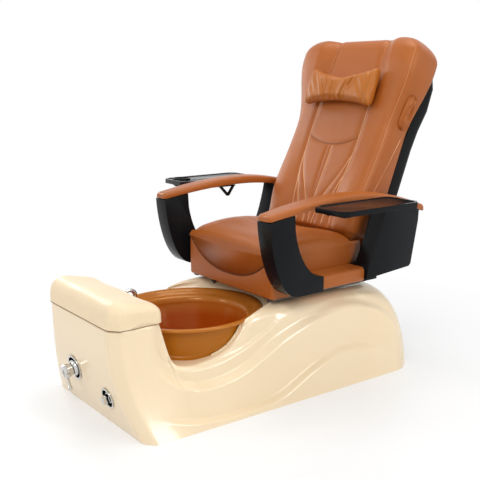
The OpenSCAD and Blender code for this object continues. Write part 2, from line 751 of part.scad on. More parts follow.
// One ring of the cushion. base lifts its lower edge to the seam, and e draws it in
function seat_ring(d, e, front) = let (
    z0 = seat_z + skirt_h + gap,
    top = z0 + seat_top(d) - e,
    low = function (x) front ? seam_z(x) : z0,
    half = seat_half - e * 0.35,
    side = low(half))
    concat(
        [for (q = dome(half, top - side, 0.36, 26))
            let (dish = 10 * pow(max(0, 1 - pow(q[0] / half / 0.8, 2)), 2) * q[1] / (top - side))
            [q[0] - sign(q[0]) * 5 * bump(q[1], 12, 14), seat_front + d, side + q[1] - dish]],
        [for (i = [-9:9]) let (x = half * i / 10) [x, seat_front + d, low(x)]]);

// How far the cushion's rounded front draws it in
function front_round(d) = let (u = max(0, 1 - d / 40)) 30 * (1 - sqrt(1 - u * u));

rear_round = 44;

module seat_cushion() place() color(leather) {
    lap = wall_t + gap;
    rear_d = seat_l - rear_round;
    loft(concat(
        [for (d = [0, lap / 2, lap]) seat_ring(d, front_round(d), true)],
        [for (i = [0:12]) let (d = lap + slice_t + (rear_d - lap - slice_t) * pow(i / 12, 1.3))
            seat_ring(d, front_round(d), false)],
        [for (a = [30, 60, 90]) seat_ring(rear_d + 40 * sin(a), rear_round * (1 - cos(a)), false)]));
}

// ---------- arms ----------

arm_x = seat_half + arm_gap;
arm_front = seat_front - 102;
arm_peak = seat_front + 318;
arm_rear = arm_front + arm_l;
front_drop = 37;
rear_drop = 80;

function arm_under(y) = seat_z + arm_rise - (y < arm_peak
    ? front_drop * pow((arm_peak - y) / (arm_peak - arm_front), 2)
    : rear_drop * pow((y - arm_peak) / (arm_rear - arm_peak), 2));

module arm_pad(s) place() sided(s) color(leather)
    loft([for (q = stations(arm_l, 12, 3, 20))
        let (y = arm_front + arm_l / 2 + q[0],
            t = arm_t - 9 * (1 - ease(y, arm_front, arm_peak)) - 6 * ease(y, arm_peak, arm_rear) - q[1])
        [for (p = dome(arm_w / 2 - q[1] * 0.7, t, 0.5, 16))
            [arm_x + arm_w / 2 + p[0], y, arm_under(y) + p[1]]]]);

module arm_pad_left() arm_pad(1);
module arm_pad_right() arm_pad(-1);

shoe_x = seat_half + 1.5;       // inner face of the pieces that bolt to the seat's side
shoe_w = 96;
shoe_z = [seat_z + 32, seat_z + 93];
bolt_in = 36;       // how far a bolt reaches into the piece that it holds
post_x = [arm_x + 9, arm_x + arm_w - 7];
post_foot = seat_front + 171;
panel_front = seat_front + 408;

// Side view of a front post
function post_outline() = let (
    top = [for (i = [0:4]) let (y = seat_front + 19 - 30 * i) [y, arm_under(y) - gap]],
    start = top[4])
    concat(
        bez([post_foot, shoe_z[1]], [post_foot - 76, shoe_z[1]], [seat_front + 30, shoe_z[1] + 97],
            [seat_front + 19, arm_under(seat_front + 19) - 30], 12),
        top,
        bez(start, [start[0] + 9, start[1] - 139], [seat_front - 45, shoe_z[0]],
            [seat_front + 40, shoe_z[0]], 14),
        [[seat_front + 40, shoe_z[0]], [post_foot, shoe_z[0]]]);

module arm_post(s) place() sided(s) color(black) union() {
    along_x(post_x[0], post_x[1]) polygon(post_outline());
    box([shoe_x, seat_front + 96, shoe_z[0]], [shoe_x + shoe_w, post_foot, shoe_z[1]]);
}

module arm_post_left() arm_post(1);
module arm_post_right() arm_post(-1);

module arm_rail(s) place() sided(s) color(leather) difference() {
    translate([0, panel_front - gap, 0]) rotate([90, 0, 0])
        linear_extrude(panel_front - post_foot - 2 * gap)
        polygon(concat(
            [[shoe_x, shoe_z[0]]],
            arc([shoe_x + shoe_w - 12, shoe_z[0] + 10], 8, -90, 0, 4),
            arc([shoe_x + shoe_w - 20, shoe_z[1] - 18], 16, 0, 90, 6),
            arc([shoe_x + 10, shoe_z[1] - 12], 10, 90, 180, 4)));
    for (y = bolt_y) rod_x(0, shoe_x + bolt_in, y, bolt_z, bolt_r + run);
}

module arm_rail_left() arm_rail(1);
module arm_rail_right() arm_rail(-1);

// Side view of a rear panel
function panel_outline() = let (
    top = [for (i = [0:5]) let (y = seat_front + 513 + 40.4 * i) [y, arm_under(y) - gap]])
    concat(
        bez([panel_front, shoe_z[0] + 12], [panel_front + 4, shoe_z[0] + 80],
            [seat_front + 470, arm_under(seat_front + 513) - 210], top[0], 12),
        top,
        [[seat_front + 712, shoe_z[1] + 160], [seat_front + 676, shoe_z[0] + 40],
            [seat_front + 664, shoe_z[0] + 30]]);

module arm_panel(s) place() sided(s) color(black) union() {
    along_x(post_x[0] - 2, post_x[1] + 2) polygon(panel_outline());
    box([shoe_x, panel_front, shoe_z[0]], [shoe_x + shoe_w - 6, panel_front + 78, shoe_z[1]]);
}

module arm_panel_left() arm_panel(1);
module arm_panel_right() arm_panel(-1);

module arm_bolts() place() color(chrome) for (s = [-1, 1], y = bolt_y) sided(s) {
    head = side_x - leg - gap;
    rod_x(head - bolt_r, shoe_x + bolt_in - 2, y, bolt_z, bolt_r);
    rod_x(head - bolt_r, head, y, bolt_z, bolt_r + 4);
}

// ---------- trays ----------

tray_top = seat_z + arm_rise + 16;
knuckle_r = 8;
tray_hinge = [arm_x + arm_w + 6 + knuckle_r, tray_top - tray_t - knuckle_r - 2];
tray_y = seat_front + 64;
knuckle_y = seat_front + 200;
knuckle_l = 30;
knuckle_gap = 0.5;
tray_pin_r = 3.5;
tray_x = tray_hinge[0] + knuckle_r + 2;
corner = 26;
tray_rim = 10;
tray_sunk = 4;      // depth of the tray's recess
bracket_t = 8;
bracket_h = 48;

module tray_bracket(s) place() sided(s) color(black) {
    x0 = arm_x + 22;
    x1 = tray_hinge[0] - knuckle_r;
    top = arm_under(knuckle_y) - gap - knuckle_gap;
    under = top - bracket_t / 2;
    mid = knuckle_y + bracket_h;
    box([x0, knuckle_y, under - 1], [x1 - 2, knuckle_y + 3 * knuckle_l, top]);
    for (y = [knuckle_y, knuckle_y + 2 * knuckle_l + knuckle_gap]) {
        box([x1 - 3, y, tray_hinge[1] - 2], [tray_hinge[0], y + knuckle_l - knuckle_gap, top]);
        rod_y(tray_hinge[0], y, y + knuckle_l - knuckle_gap, tray_hinge[1], knuckle_r);
    }
    along_x(x0, x0 + bracket_t) polygon([[knuckle_y, under], [mid - 6, top - bracket_h],
        [mid + 6, top - bracket_h], [mid + 38, under], [mid + 24, under],
        [mid, top - bracket_h + 12], [knuckle_y + 2 * bracket_t, under]]);
    rod_y(tray_hinge[0], knuckle_y, knuckle_y + 3 * knuckle_l, tray_hinge[1], tray_pin_r);
}

module tray_bracket_left() tray_bracket(1);
module tray_bracket_right() tray_bracket(-1);

// Plan of a tray, drawn in by e: its front inner corner is cut off further back than the others
function tray_outline(e) = let (
    x = [tray_x + e, tray_x + tray_w - e],
    y = [tray_y + e, tray_y + tray_l - e],
    c = corner - e * 0.4)
    [[x[0], y[0] + 2 * c], [x[0] + c, y[0]], [x[1] - c, y[0]], [x[1], y[0] + c], [x[1], y[1] - c],
        [x[1] - c, y[1]], [x[0] + c / 2, y[1]], [x[0], y[1] - c / 2]];

module tray_body() difference() {
    under = tray_top - tray_t;
    pull_x = tray_x + tray_w - 2 * knuckle_l;
    union() {
        translate([0, 0, under]) linear_extrude(tray_t) polygon(tray_outline(0));
        rod_y(tray_hinge[0], knuckle_y + knuckle_l, knuckle_y + 2 * knuckle_l, tray_hinge[1], knuckle_r);
        box([tray_hinge[0], knuckle_y + knuckle_l, tray_hinge[1] - 3],
            [tray_x + 6, knuckle_y + 2 * knuckle_l, under + 1]);
        box([pull_x, tray_y + corner + bracket_t, under - 9], [pull_x + corner, tray_y + 70, under + 1]);
    }
    translate([0, 0, tray_top - tray_sunk]) linear_extrude(tray_t) polygon(tray_outline(tray_rim));
    rod_y(tray_hinge[0], knuckle_y, knuckle_y + 3 * knuckle_l, tray_hinge[1], tray_pin_r + run);
}

holder_t = 2.5;
cup_rim = 6;
cup_place = [tray_x + tray_w - cup_r - 20, tray_y + cup_r + 34];

module tray_left() place() color(black) tray_body();

module tray_right() place() sided(-1) color(black) difference() {
    tray_body();
    translate([cup_place[0], cup_place[1], 0]) cylinder(r = cup_r + run, h = tray_top + 1);
}

module cup_holder() place() sided(-1) color(black)
    translate([cup_place[0], cup_place[1], tray_top]) difference() {
        union() {
            translate([0, 0, gap - tray_sunk]) cylinder(r = cup_r + cup_rim, h = cup_rim);
            translate([0, 0, -cup_depth]) cylinder(r = cup_r, h = cup_depth);
        }
        translate([0, 0, holder_t - cup_depth]) cylinder(r = cup_r - holder_t, h = 2 * cup_depth);
    }

// ---------- recline ----------

crank_r = 60;
crank_a = recline / 2 + back_tilt;
crank_pin_r = 6;
slot_gap = 0.8;     // between the crank's pin and the slot in the rod's eye
slot_half = 3;      // how far the pin can rise or fall in the slot
act_z = hinge_z - crank_r + 1.25;

module hinge_pins() place() color(chrome) for (s = [-1, 1]) sided(s) {
    outer = plate_x + plate_t + gap;
    rod_x(bar_x - 2, outer + pin_r / 2, hinge_y, hinge_z, pin_r);
    rod_x(outer, outer + pin_r / 2, hinge_y, hinge_z, pin_r + 4);
}

act_y = [clevis_y - 11, clevis_y + 217];
act_r = 20;
rod_r = 8;
eye_y = hinge_y + crank_r * sin(recline / 2);

module recline_actuator() place() color(steel) difference() {
    union() {
        rod_y(0, act_y[0] + act_r, act_y[1], act_z, act_r);
        box([-act_r / 2, act_y[0], act_z - 12], [act_r / 2, clevis_y + 15, act_z + 12]);
        rod_x(gap - clevis_x, clevis_x - gap, clevis_y, act_z, act_r / 2);
        rod_x(-clevis_x - plate_t - 2, clevis_x + plate_t + 2, clevis_y, act_z, clevis_r);
    }
    rod_y(0, (act_y[0] + act_y[1]) / 2, act_y[1] + 1, act_z, rod_r + run);
}

module recline_rod() place() color(chrome) difference() {
    slot_r = crank_pin_r + slot_gap;
    union() {
        rod_y(0, act_y[1] - 2 * crank_r * sin(recline), eye_y - rod_r, act_z, rod_r);
        box([-rod_r, eye_y - 2 * rod_r, act_z - 15], [rod_r, eye_y + 2 * slot_r, act_z + 15]);
    }
    for (k = [-slot_half, slot_half]) rod_x(-2 * rod_r, 2 * rod_r, eye_y, act_z + k, slot_r);
    box([-2 * rod_r, eye_y - slot_r, act_z - slot_half], [2 * rod_r, eye_y + slot_r, act_z + slot_half]);
}

// ---------- backrest ----------

module at_back() {
    place() translate([0, hinge_y, hinge_z]) rotate([-back_tilt, 0, 0]) children();
}

bar_t = 20;
bar_x = plate_x - 4 - bar_t;    // inner face of the back frame's side bars
frame_top = back_l - 80;
cross_z = [40, frame_top - 30];
cross_h = 30;
lug_x = 10;
lug_t = 6;
bar_y = [-25, 15];
guide_x = 85;
guide_y = 4;
guide_r = 6;
screw_r = 7;
motor_top = 118;

module back_frame() at_back() color(steel) difference() {
    union() {
        for (s = [-1, 1]) sided(s) {
            box([bar_x, bar_y[0], -bar_t / 2], [bar_x + bar_t, bar_y[1], frame_top]);
            rod_x(bar_x, bar_x + bar_t, 0, 0, bar_t);
            along_x(lug_x, lug_x + lug_t) polygon([[-14, cross_z[0] + 4], [14, cross_z[0] + 4],
                crank_pin + [11, 5], crank_pin + [5, -11], crank_pin + [-9, -6]]);
        }
        for (z = cross_z) box([-bar_x - 1, bar_y[0] + 5, z], [bar_x + 1, bar_y[1] - 1, z + cross_h]);
        rod_x(-lug_x - lug_t + 1, lug_x + lug_t - 1, crank_pin[0], crank_pin[1], crank_pin_r);
    }
    rod_x(-seat_w, seat_w, 0, 0, pin_r + run);
}

crank_pin = crank_r * [sin(crank_a), -cos(crank_a)];

function back_half(z) = waist_w / 2 + (head_w - waist_w) / 2 * ease(z, 540, 840)
    - 16 * (1 - ease(z, 90, 260));

shell_top = frame_top - 1;

// Depth and half width of the rear shell at a height
function shell_depth(z) = 62 + 56 * ease(z, -30, 170) - 66 * ease(z, shell_top - 230, shell_top + 30);
function shell_half(z) = back_half(z) - 8 - 5 * (1 - ease(z, 60, 160))
    - 30 * pow(max(0, z - shell_top + 90) / 90, 2);

shell_front = 42;
back_shell_t = 3;

module shell_slice(z, e) {
    w = shell_half(z) - e;
    d = shell_depth(z) - e;
    r = min(26, (d - shell_front) * 0.8);
    translate([0, 0, z]) linear_extrude(slice_t) polygon(concat(
        [[-w, shell_front - e], [w, shell_front - e]],
        arc([w - r, d - r], r, 0, 90, 5), arc([-w + r, d - r], r, 90, 180, 5)));
}

shell_levels = [for (i = [0:10]) -20 + (shell_top + 20) * i / 10];

// The chair's middle, between the footrest pad's front and the back shell's rear
rear_end = max([for (z = shell_levels) hinge_y + shell_depth(z) * cos(back_tilt) + z * sin(back_tilt)]);
mid_y = (rear_end - pad_over) / 2;

module back_shell() at_back() color(black) difference() {
    for (i = [0:9]) hull() {
        shell_slice(shell_levels[i], 0);
        shell_slice(shell_levels[i + 1], 0);
    }
    for (i = [0:9]) hull() {
        translate([0, 0, i == 0 ? -1 : 0]) shell_slice(shell_levels[i], back_shell_t);
        translate([0, 0, i == 9 ? -back_shell_t - 1 : 0]) shell_slice(shell_levels[i + 1], back_shell_t);
    }
}

wrap_top = frame_top + 2 * gap;     // above it the head of the cushion closes behind the frame
cushion_low = 80;
recess_x = 100;
recess_y = -68;
rear_y = bar_y[0] - gap;
seam_x = 152;
back_face = -107;

// Front of the back cushion: lumbar and head bolsters, and a channel at each seam
function back_front(x, z) = let (
    out = seam_x + 13 + 24 * ease(z, 560, 660),
    side = ease(abs(x), out, out + 70),
    bolster = 24 * bump(z, 200, 170) + 30 * bump(z, 860, 150) - 6 * bump(z, 560, 120),
    lumbar = 10 * bump(z, 260, 160))
    back_face - side * bolster - (1 - side) * lumbar
    + 9 * bump(abs(x), seam_x, 9) * (z > back_l - 60 ? 0.5 : 1)
    + 5 * bump(z, 500 + pow(x / seam_x, 2) * 40, 10) * (1 - side);

function back_ring(z, e) = let (
    w = back_half(z) - (z < wrap_top ? min(e, 6) : e),
    open = z > 130 && z < frame_top - 60 ? 1 : 0,
    lobe = z < wrap_top ? shell_front - 1 : 28 - e * 1.1,
    inner = z < wrap_top ? bar_x + bar_t + 1 : w - 34,
    rear = z < wrap_top ? rear_y : lobe,
    right = concat(
        [for (k = [0, 0.3, 0.62, 0.92, 1, 1.08]) let (x = seam_x * k) [x, back_front(x, z) + e * 0.6]],
        [for (a = [9, 18, 29, 40, 58, 72, 82, 90]) let (x = seam_x * 1.08 + (w - seam_x * 1.08) * sin(a))
            [x, back_front(x, z) + e * 0.6 + 46 * (1 - cos(a)) * (1 - cos(a)) ]],
        [[w, lobe - 30], [w - 2, lobe], [inner, lobe], [inner - 1, rear],
            [recess_x + 1, rear], [recess_x, open ? recess_y : rear], [0, open ? recess_y : rear]]),
    n = len(right))
    concat([for (p = right) [p[0], p[1], z]],
        [for (i = [n - 2:-1:1]) [-right[i][0], right[i][1], z]]);

module back_cushion() at_back() color(leather) loft(concat(
    [for (a = [0, 35, 65]) back_ring(cushion_low + 26 * (1 - cos(a)), 30 * (1 - sin(a)))],
    [for (z = [108, 128, 131, 180, 240, 300, 360, 410, 450, 485, 500, 515]) back_ring(z, 0)],
    [for (z = [540:25:790]) back_ring(z, 0)],
    [for (z = [frame_top - 61, frame_top - 59, wrap_top - slice_t, wrap_top + slice_t]) back_ring(z, 0)],
    [for (a = [30, 55, 75, 90]) back_ring(back_l - 62 + 62 * sin(a), 58 * (1 - cos(a)))]));

pouch_z = 640;
pouch_l = 150;
pouch_half = 24;
pouch_t = 18;

module remote_pouch() at_back() color(leather)
    loft([for (s = stations(pouch_l, 16, 3, 6))
        [for (q = dome(pouch_half - s[1] * 0.8, pouch_t - s[1] * 0.9, 0.6, 12))
            [back_half(pouch_z + s[0]) + gap + 0.3 + q[1], 2 - q[0], pouch_z + s[0]]]]);

module massage_rods() at_back() color(chrome) for (s = [-1, 1])
    translate([s * guide_x, guide_y, motor_low]) cylinder(r = guide_r, h = cross_z[1] - gap - motor_low);

motor_low = cross_z[0] + cross_h + gap;
motor_half = 32;
motor_r = 18;

module massage_motor() at_back() color(black) {
    box([-motor_half, bar_y[0] + 10, motor_low], [motor_half, 3 * motor_r, motor_top]);
    translate([0, motor_half + 2, motor_top]) cylinder(r = motor_r, h = 4 * motor_r);
}

carriage_z = [222, 302];
axle_z = carriage_z[1] + 34;
axle_y = -32;
axle_r = 4;
roller_x = 50;
roller_r = 27;
roller_w = 26;
fork_t = 4;

module lead_screw() at_back() color(chrome) translate([0, guide_y, 0]) {
    translate([0, 0, motor_top + gap]) cylinder(r = screw_r, h = cross_z[1] - motor_top - 2 * gap);
    translate([0, 0, motor_top + gap]) cylinder(r = screw_r + 4, h = screw_r + 1);
}

module massage_carriage() at_back() color(black) difference() {
    union() {
        box([-guide_x - 15, guide_y - 21, carriage_z[0]], [guide_x + 15, guide_y + 13, carriage_z[1]]);
        for (x = [-roller_x, roller_x], k = [-1, 1])
            translate([x + k * (roller_w + fork_t + 2) / 2, 0, 0]) along_x(-fork_t / 2, fork_t / 2)
                polygon([[guide_y - 20, carriage_z[1] - 20], [guide_y + 6, carriage_z[1] - 1],
                    [axle_y + 10, axle_z + 9], [axle_y - 8, axle_z + 9], [axle_y - 9, axle_z - 6]]);
    }
    for (s = [-1, 1]) translate([s * guide_x, guide_y, 0]) cylinder(r = guide_r + run, h = 2 * back_l);
    translate([0, guide_y, 0]) cylinder(r = screw_r + run, h = 2 * back_l);
    rod_x(-guide_x, guide_x, axle_y, axle_z, axle_r + run);
}

module massage_rollers() at_back() color(leather) {
    rod_x(-roller_x - roller_w, roller_x + roller_w, axle_y, axle_z, axle_r);
    for (x = [-roller_x, roller_x]) {
        rod_x(x - roller_w / 2, x + roller_w / 2, axle_y, axle_z, roller_r - 4);
        rod_x(x - roller_w / 3, x + roller_w / 3, axle_y, axle_z, roller_r);
    }
}

pillow_z = 700;
pillow_off = 2;     // between the pillow and the back cushion's middle

module head_pillow() at_back() color(leather)
    loft([for (s = stations(pillow_w, 24, 4, 16))
        let (waist = 1 - 0.13 * bump(s[0], 0, pillow_w * 0.28),
            half = (pillow_h / 2 - s[1] * 0.8) * waist,
            t = (pillow_t - s[1]) * (0.93 + 0.07 * cos(s[0] / pillow_w * 720)))
        [for (i = [0:23]) let (a = 15 * i, c = cos(a), d = sin(a))
            [s[0],
                back_face - pillow_off - pillow_t / 2 + t / 2 * sign(d) * pow(abs(d), 0.8),
                pillow_z + half * sign(c) * pow(abs(c), 0.62)]]]);

base_shell();
base_frame();
levelling_feet();
footrest_board();
footrest_pad();
bowl();
drain_strainer();
drain_stopper();
drain_pipe();
jet_housing();
jet_impeller();
jet_cover();
jet_motor();
spout();
mixer_cup();
mixer_body();
mixer_cap();
mixer_lever();
diverter_cup();
diverter_collar();
diverter_knob();
supply_pipes();
control_box();
slide_rail_left();
slide_rail_right();
slide_runner_left();
slide_runner_right();
seat_frame();
seat_pan();
seat_skirt();
seat_cushion();
arm_post_left();
arm_post_right();
arm_rail_left();
arm_rail_right();
arm_panel_left();
arm_panel_right();
arm_pad_left();
arm_pad_right();
arm_bolts();
tray_bracket_left();
tray_bracket_right();
tray_left();
tray_right();
cup_holder();
hinge_pins();
recline_actuator();
recline_rod();
back_frame();
back_shell();
back_cushion();
remote_pouch();
massage_rods();
massage_motor();
lead_screw();
massage_carriage();
massage_rollers();
head_pillow();
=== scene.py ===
"""Pedicure spa chair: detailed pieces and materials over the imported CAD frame. Everything is in metres.

Lengths along the chair are counted from the front face of the base, as place() adds the frame's own offset.
Points on the backrest are (across, out of its rear, up from its hinge), and lean() sets them in the frame.
"""

import json
import math
from contextlib import contextmanager

import bmesh
import bpy
import numpy as np
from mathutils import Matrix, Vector


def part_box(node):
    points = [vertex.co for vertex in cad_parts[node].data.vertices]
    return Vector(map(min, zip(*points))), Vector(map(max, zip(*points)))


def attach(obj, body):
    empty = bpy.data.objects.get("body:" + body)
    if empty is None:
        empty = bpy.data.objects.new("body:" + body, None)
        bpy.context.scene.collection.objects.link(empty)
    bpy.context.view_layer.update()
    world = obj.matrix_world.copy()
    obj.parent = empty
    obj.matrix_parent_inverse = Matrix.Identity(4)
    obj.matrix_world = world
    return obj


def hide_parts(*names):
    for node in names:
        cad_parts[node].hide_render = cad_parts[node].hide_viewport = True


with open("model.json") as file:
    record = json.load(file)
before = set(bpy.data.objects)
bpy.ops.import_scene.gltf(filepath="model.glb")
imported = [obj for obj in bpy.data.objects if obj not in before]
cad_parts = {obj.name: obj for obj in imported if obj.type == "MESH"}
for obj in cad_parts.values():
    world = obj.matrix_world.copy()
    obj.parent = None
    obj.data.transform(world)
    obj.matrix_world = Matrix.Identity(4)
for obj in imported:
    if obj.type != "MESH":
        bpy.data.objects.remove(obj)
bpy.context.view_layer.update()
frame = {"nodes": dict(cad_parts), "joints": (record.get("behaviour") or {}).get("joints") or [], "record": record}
nodes = frame["nodes"]
joints = {j["name"]: j for j in frame["joints"]}

# ---------- places taken from the frame ----------

FACE_OUT = 0.022                    # how far the face's top stands in front of its middle, from where lengths count
FRONT = float(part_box("base_shell")[0][1]) + FACE_OUT
HINGE = np.array(joints["back_recline"]["pos_m"])
UP_BACK = np.array(joints["pillow_slide"]["axis"])
OUT_BACK = np.array([0.0, UP_BACK[2], -UP_BACK[1]])
DECK_Z = float(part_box("slide_rail_left")[0][2])
SEAT_LOW = np.array(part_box("seat_skirt")[0])
SEAT_HIGH = np.array(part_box("seat_skirt")[1])
SEAT_FRONT = SEAT_LOW[1] - FRONT
SEAT_HALF = SEAT_HIGH[0]
BOWL_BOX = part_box("bowl")
RIM_Z = float(BOWL_BOX[1][2])
RIM_R = float(BOWL_BOX[1][0])
BOWL_Y = float(BOWL_BOX[0][1] + BOWL_BOX[1][1]) / 2 - FRONT


def box_of(node):
    """The low and the high corner of a CAD node's box."""
    return [np.array(v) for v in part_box(node)]


def axis_of(joint):
    """A joint's direction and a point that its axis runs through."""
    return Vector(joints[joint]["axis"]), Vector(joints[joint]["pos_m"])


def place(points):
    """Points counted from the base's front face, set in the row frame."""
    p = np.array(points, dtype=float)
    p[..., 1] += FRONT
    return p


def lean(points):
    """Points on the backrest, set in the row frame."""
    p = np.array(points, dtype=float)
    across = np.zeros_like(p)
    across[..., 0] = p[..., 0]
    return HINGE * [0, 1, 1] + across + p[..., 1:2] * OUT_BACK + p[..., 2:3] * UP_BACK


# ---------- curves ----------


def ease(x, a, b):
    """0 below a, 1 above b, and a smooth step between them."""
    t = np.clip((np.asarray(x, dtype=float) - a) / (b - a), 0, 1)
    return t * t * (3 - 2 * t)


def bump(x, middle, half):
    """1 in the middle, falling to nothing on both sides."""
    return np.exp(-(((np.asarray(x, dtype=float) - middle) / half) ** 2))


def between(x, span):
    """1 inside a span and 0 outside it. The span gives where it starts to rise, is full, starts to fall and ends."""
    rise, full, fall, end = span
    return ease(x, rise, full) * (1 - ease(x, fall, end))


def round_off(near, reach):
    """1 at a rounded end, falling to 0 at a distance of reach from it, as a quarter circle does."""
    return 1 - math.sqrt(max(0.0, 1 - max(0.0, 1 - near / reach) ** 2))


def squarish(c, power):
    """A sine or cosine bent so that its circle turns towards a square."""
    return math.copysign(abs(c) ** power, c)


def full_turn(n):
    """n angles evenly round a full turn."""
    return np.linspace(0, 2 * math.pi, n, endpoint=False)


def quarter_turn(n):
    """n angles from 0 to a quarter turn."""
    return np.linspace(0, math.pi / 2, n)


def through(points, n):
    """A smooth curve of n points through the given ones."""
    p = np.array(points, dtype=float)
    ends = np.vstack([2 * p[0] - p[1], p, 2 * p[-1] - p[-2]])
    t = np.linspace(0, len(p) - 1, n)
    i = np.minimum(t.astype(int), len(p) - 2)
    f = (t - i)[:, None]
    a, b, c, d = ends[i], ends[i + 1], ends[i + 2], ends[i + 3]
    return 0.5 * (2 * b + (c - a) * f + (2 * a - 5 * b + 4 * c - d) * f**2 + (3 * b - a - 3 * c + d) * f**3)


def distance_to(x, z, line):
    """Distance of each point (x, z) from a line of points in that plane."""
    best = np.full(np.broadcast(x, z).shape, 1e9)
    for (x0, z0), (x1, z1) in zip(line[:-1], line[1:]):
        dx, dz = x1 - x0, z1 - z0
        t = np.clip(((x - x0) * dx + (z - z0) * dz) / (dx * dx + dz * dz + 1e-12), 0, 1)
        best = np.minimum(best, np.hypot(x - x0 - t * dx, z - z0 - t * dz))
    return best


def smooth_min(a, b, k):
    """The smaller of two heights, with the change from one to the other rounded."""
    h = np.clip(0.5 + 0.5 * (b - a) / k, 0, 1)
    return b + (a - b) * h - k * h * (1 - h)


# ---------- meshes ----------


def add_object(name, data):
    o = bpy.data.objects.new(name, data)
    bpy.context.scene.collection.objects.link(o)
    return o


@contextmanager
def editing(mesh):
    """A mesh opened for editing, and written back at the end."""
    bm = bmesh.new()
    bm.from_mesh(mesh)
    yield bm
    bm.to_mesh(mesh)
    bm.free()


def points_of(mesh):
    p = np.zeros(len(mesh.vertices) * 3)
    mesh.vertices.foreach_get("co", p)
    return p.reshape(-1, 3)


def set_points(mesh, points):
    mesh.vertices.foreach_set("co", points.ravel())
    mesh.update()


def mesh_from(name, points, faces, material, smooth=True, outward=True):
    mesh = bpy.data.meshes.new(name)
    mesh.from_pydata([tuple(p) for p in points], [], faces)
    mesh.materials.append(material)
    if outward:
        with editing(mesh) as bm:
            bmesh.ops.remove_doubles(bm, verts=bm.verts, dist=1e-6)
            bmesh.ops.recalc_face_normals(bm, faces=bm.faces)
    if smooth:
        mesh.polygons.foreach_set("use_smooth", [True] * len(mesh.polygons))
    mesh.update()
    return add_object(name, mesh)


def skin(name, grid, material, loop_v=False, loop_u=False, cap_ends=False, outward=True):
    """A surface over a grid of points. loop_v joins each row's ends and loop_u the first row to the last.

    cap_ends closes the first and the last row.
    """
    m, n = grid.shape[:2]
    points = grid.reshape(-1, 3)
    index = np.arange(m * n).reshape(m, n)
    if loop_v:
        index = np.hstack([index, index[:, :1]])
    if loop_u:
        index = np.vstack([index, index[:1]])
    quads = np.stack([index[:-1, :-1], index[:-1, 1:], index[1:, 1:], index[1:, :-1]], -1).reshape(-1, 4)
    faces = quads.tolist()
    if cap_ends:
        middles = []
        for row, flip in ((0, False), (m - 1, True)):
            middles.append(grid[row].mean(0))
            hub = m * n + len(middles) - 1
            ring = index[row]
            for a, b in zip(ring[:-1], ring[1:]):
                faces.append([hub, int(a), int(b)] if flip else [hub, int(b), int(a)])
        points = np.vstack([points, middles])
    return mesh_from(name, points, faces, material, outward=outward)


def closed_skin(name, rings, material):
    """A closed solid's surface over rings of points."""
    return skin(name, np.array(rings), material, loop_v=True, cap_ends=True)


def tube(name, line, radius, material, sides=8):
    """A round tube along a line of points."""
    p = np.array(line, dtype=float)
    along = np.gradient(p, axis=0)
    along /= np.linalg.norm(along, axis=1)[:, None] + 1e-12
    side = np.cross(along[0], [0.31, 0.17, 0.93])
    side /= np.linalg.norm(side)
    angle = full_turn(sides)[:, None]
    rows = []
    for i in range(len(p)):
        side = side - along[i] * np.dot(side, along[i])
        side /= np.linalg.norm(side)
        up = np.cross(along[i], side)
        rows.append(p[i] + radius * (np.cos(angle) * side + np.sin(angle) * up))
    return closed_skin(name, rows, material)


def modify(o, kind, **values):
    m = o.modifiers.new(kind.lower(), kind)
    for key, value in values.items():
        setattr(m, key, value)


def apply_all(o):
    """Fixes an object's modifiers into its mesh."""
    depsgraph = bpy.context.evaluated_depsgraph_get()
    mesh = bpy.data.meshes.new_from_object(o.evaluated_get(depsgraph))
    o.modifiers.clear()
    old = o.data
    o.data = mesh
    bpy.data.meshes.remove(old)


def copy_of(node, name, material):
    """A new object with the mesh of a CAD node, its flat faces joined again."""
    mesh = nodes[node].data.copy()
    mesh.name = name
    mesh.materials.clear()
    mesh.materials.append(material)
    with editing(mesh) as bm:
        bmesh.ops.remove_doubles(bm, verts=bm.verts, dist=1e-5)
        bmesh.ops.dissolve_limit(bm, angle_limit=math.radians(1), verts=bm.verts, edges=bm.edges)
    return add_object(name, mesh)


FINE_EDGES = 40                     # angles in degrees over which an edge is left sharp
SHELL_EDGES = 50


def shade(o, degrees):
    """Smooth shading with edges over an angle left sharp."""
    mesh = o.data
    mesh.polygons.foreach_set("use_smooth", [True] * len(mesh.polygons))
    with editing(mesh) as bm:
        for e in bm.edges:
            e.smooth = not (len(e.link_faces) == 2 and e.calc_face_angle(0) > math.radians(degrees))


def round_edges(o, width, segments=3, angle=28):
    """Rounds the edges that turn by more than an angle in degrees."""
    modify(o, "BEVEL", width=width, segments=segments, limit_method="ANGLE", angle_limit=math.radians(angle))
    apply_all(o)
    shade(o, FINE_EDGES)


def bevelled(node, name, material, body, slot, width, segments, angle=28):
    """A CAD node with its edges rounded, in place of that node."""
    o = copy_of(node, name, material)
    round_edges(o, width, segments, angle)
    dress(o, body, slot, node)
    return o


def dress(o, body, slot, *replaced):
    """Gives a piece its body, and hides the CAD nodes whose place it takes. Its slot is not used."""
    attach(o, body)
    if replaced:
        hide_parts(*replaced)


# ---------- materials ----------


def colour_sockets(sockets):
    return [s for s in sockets if s.type == "RGBA"]


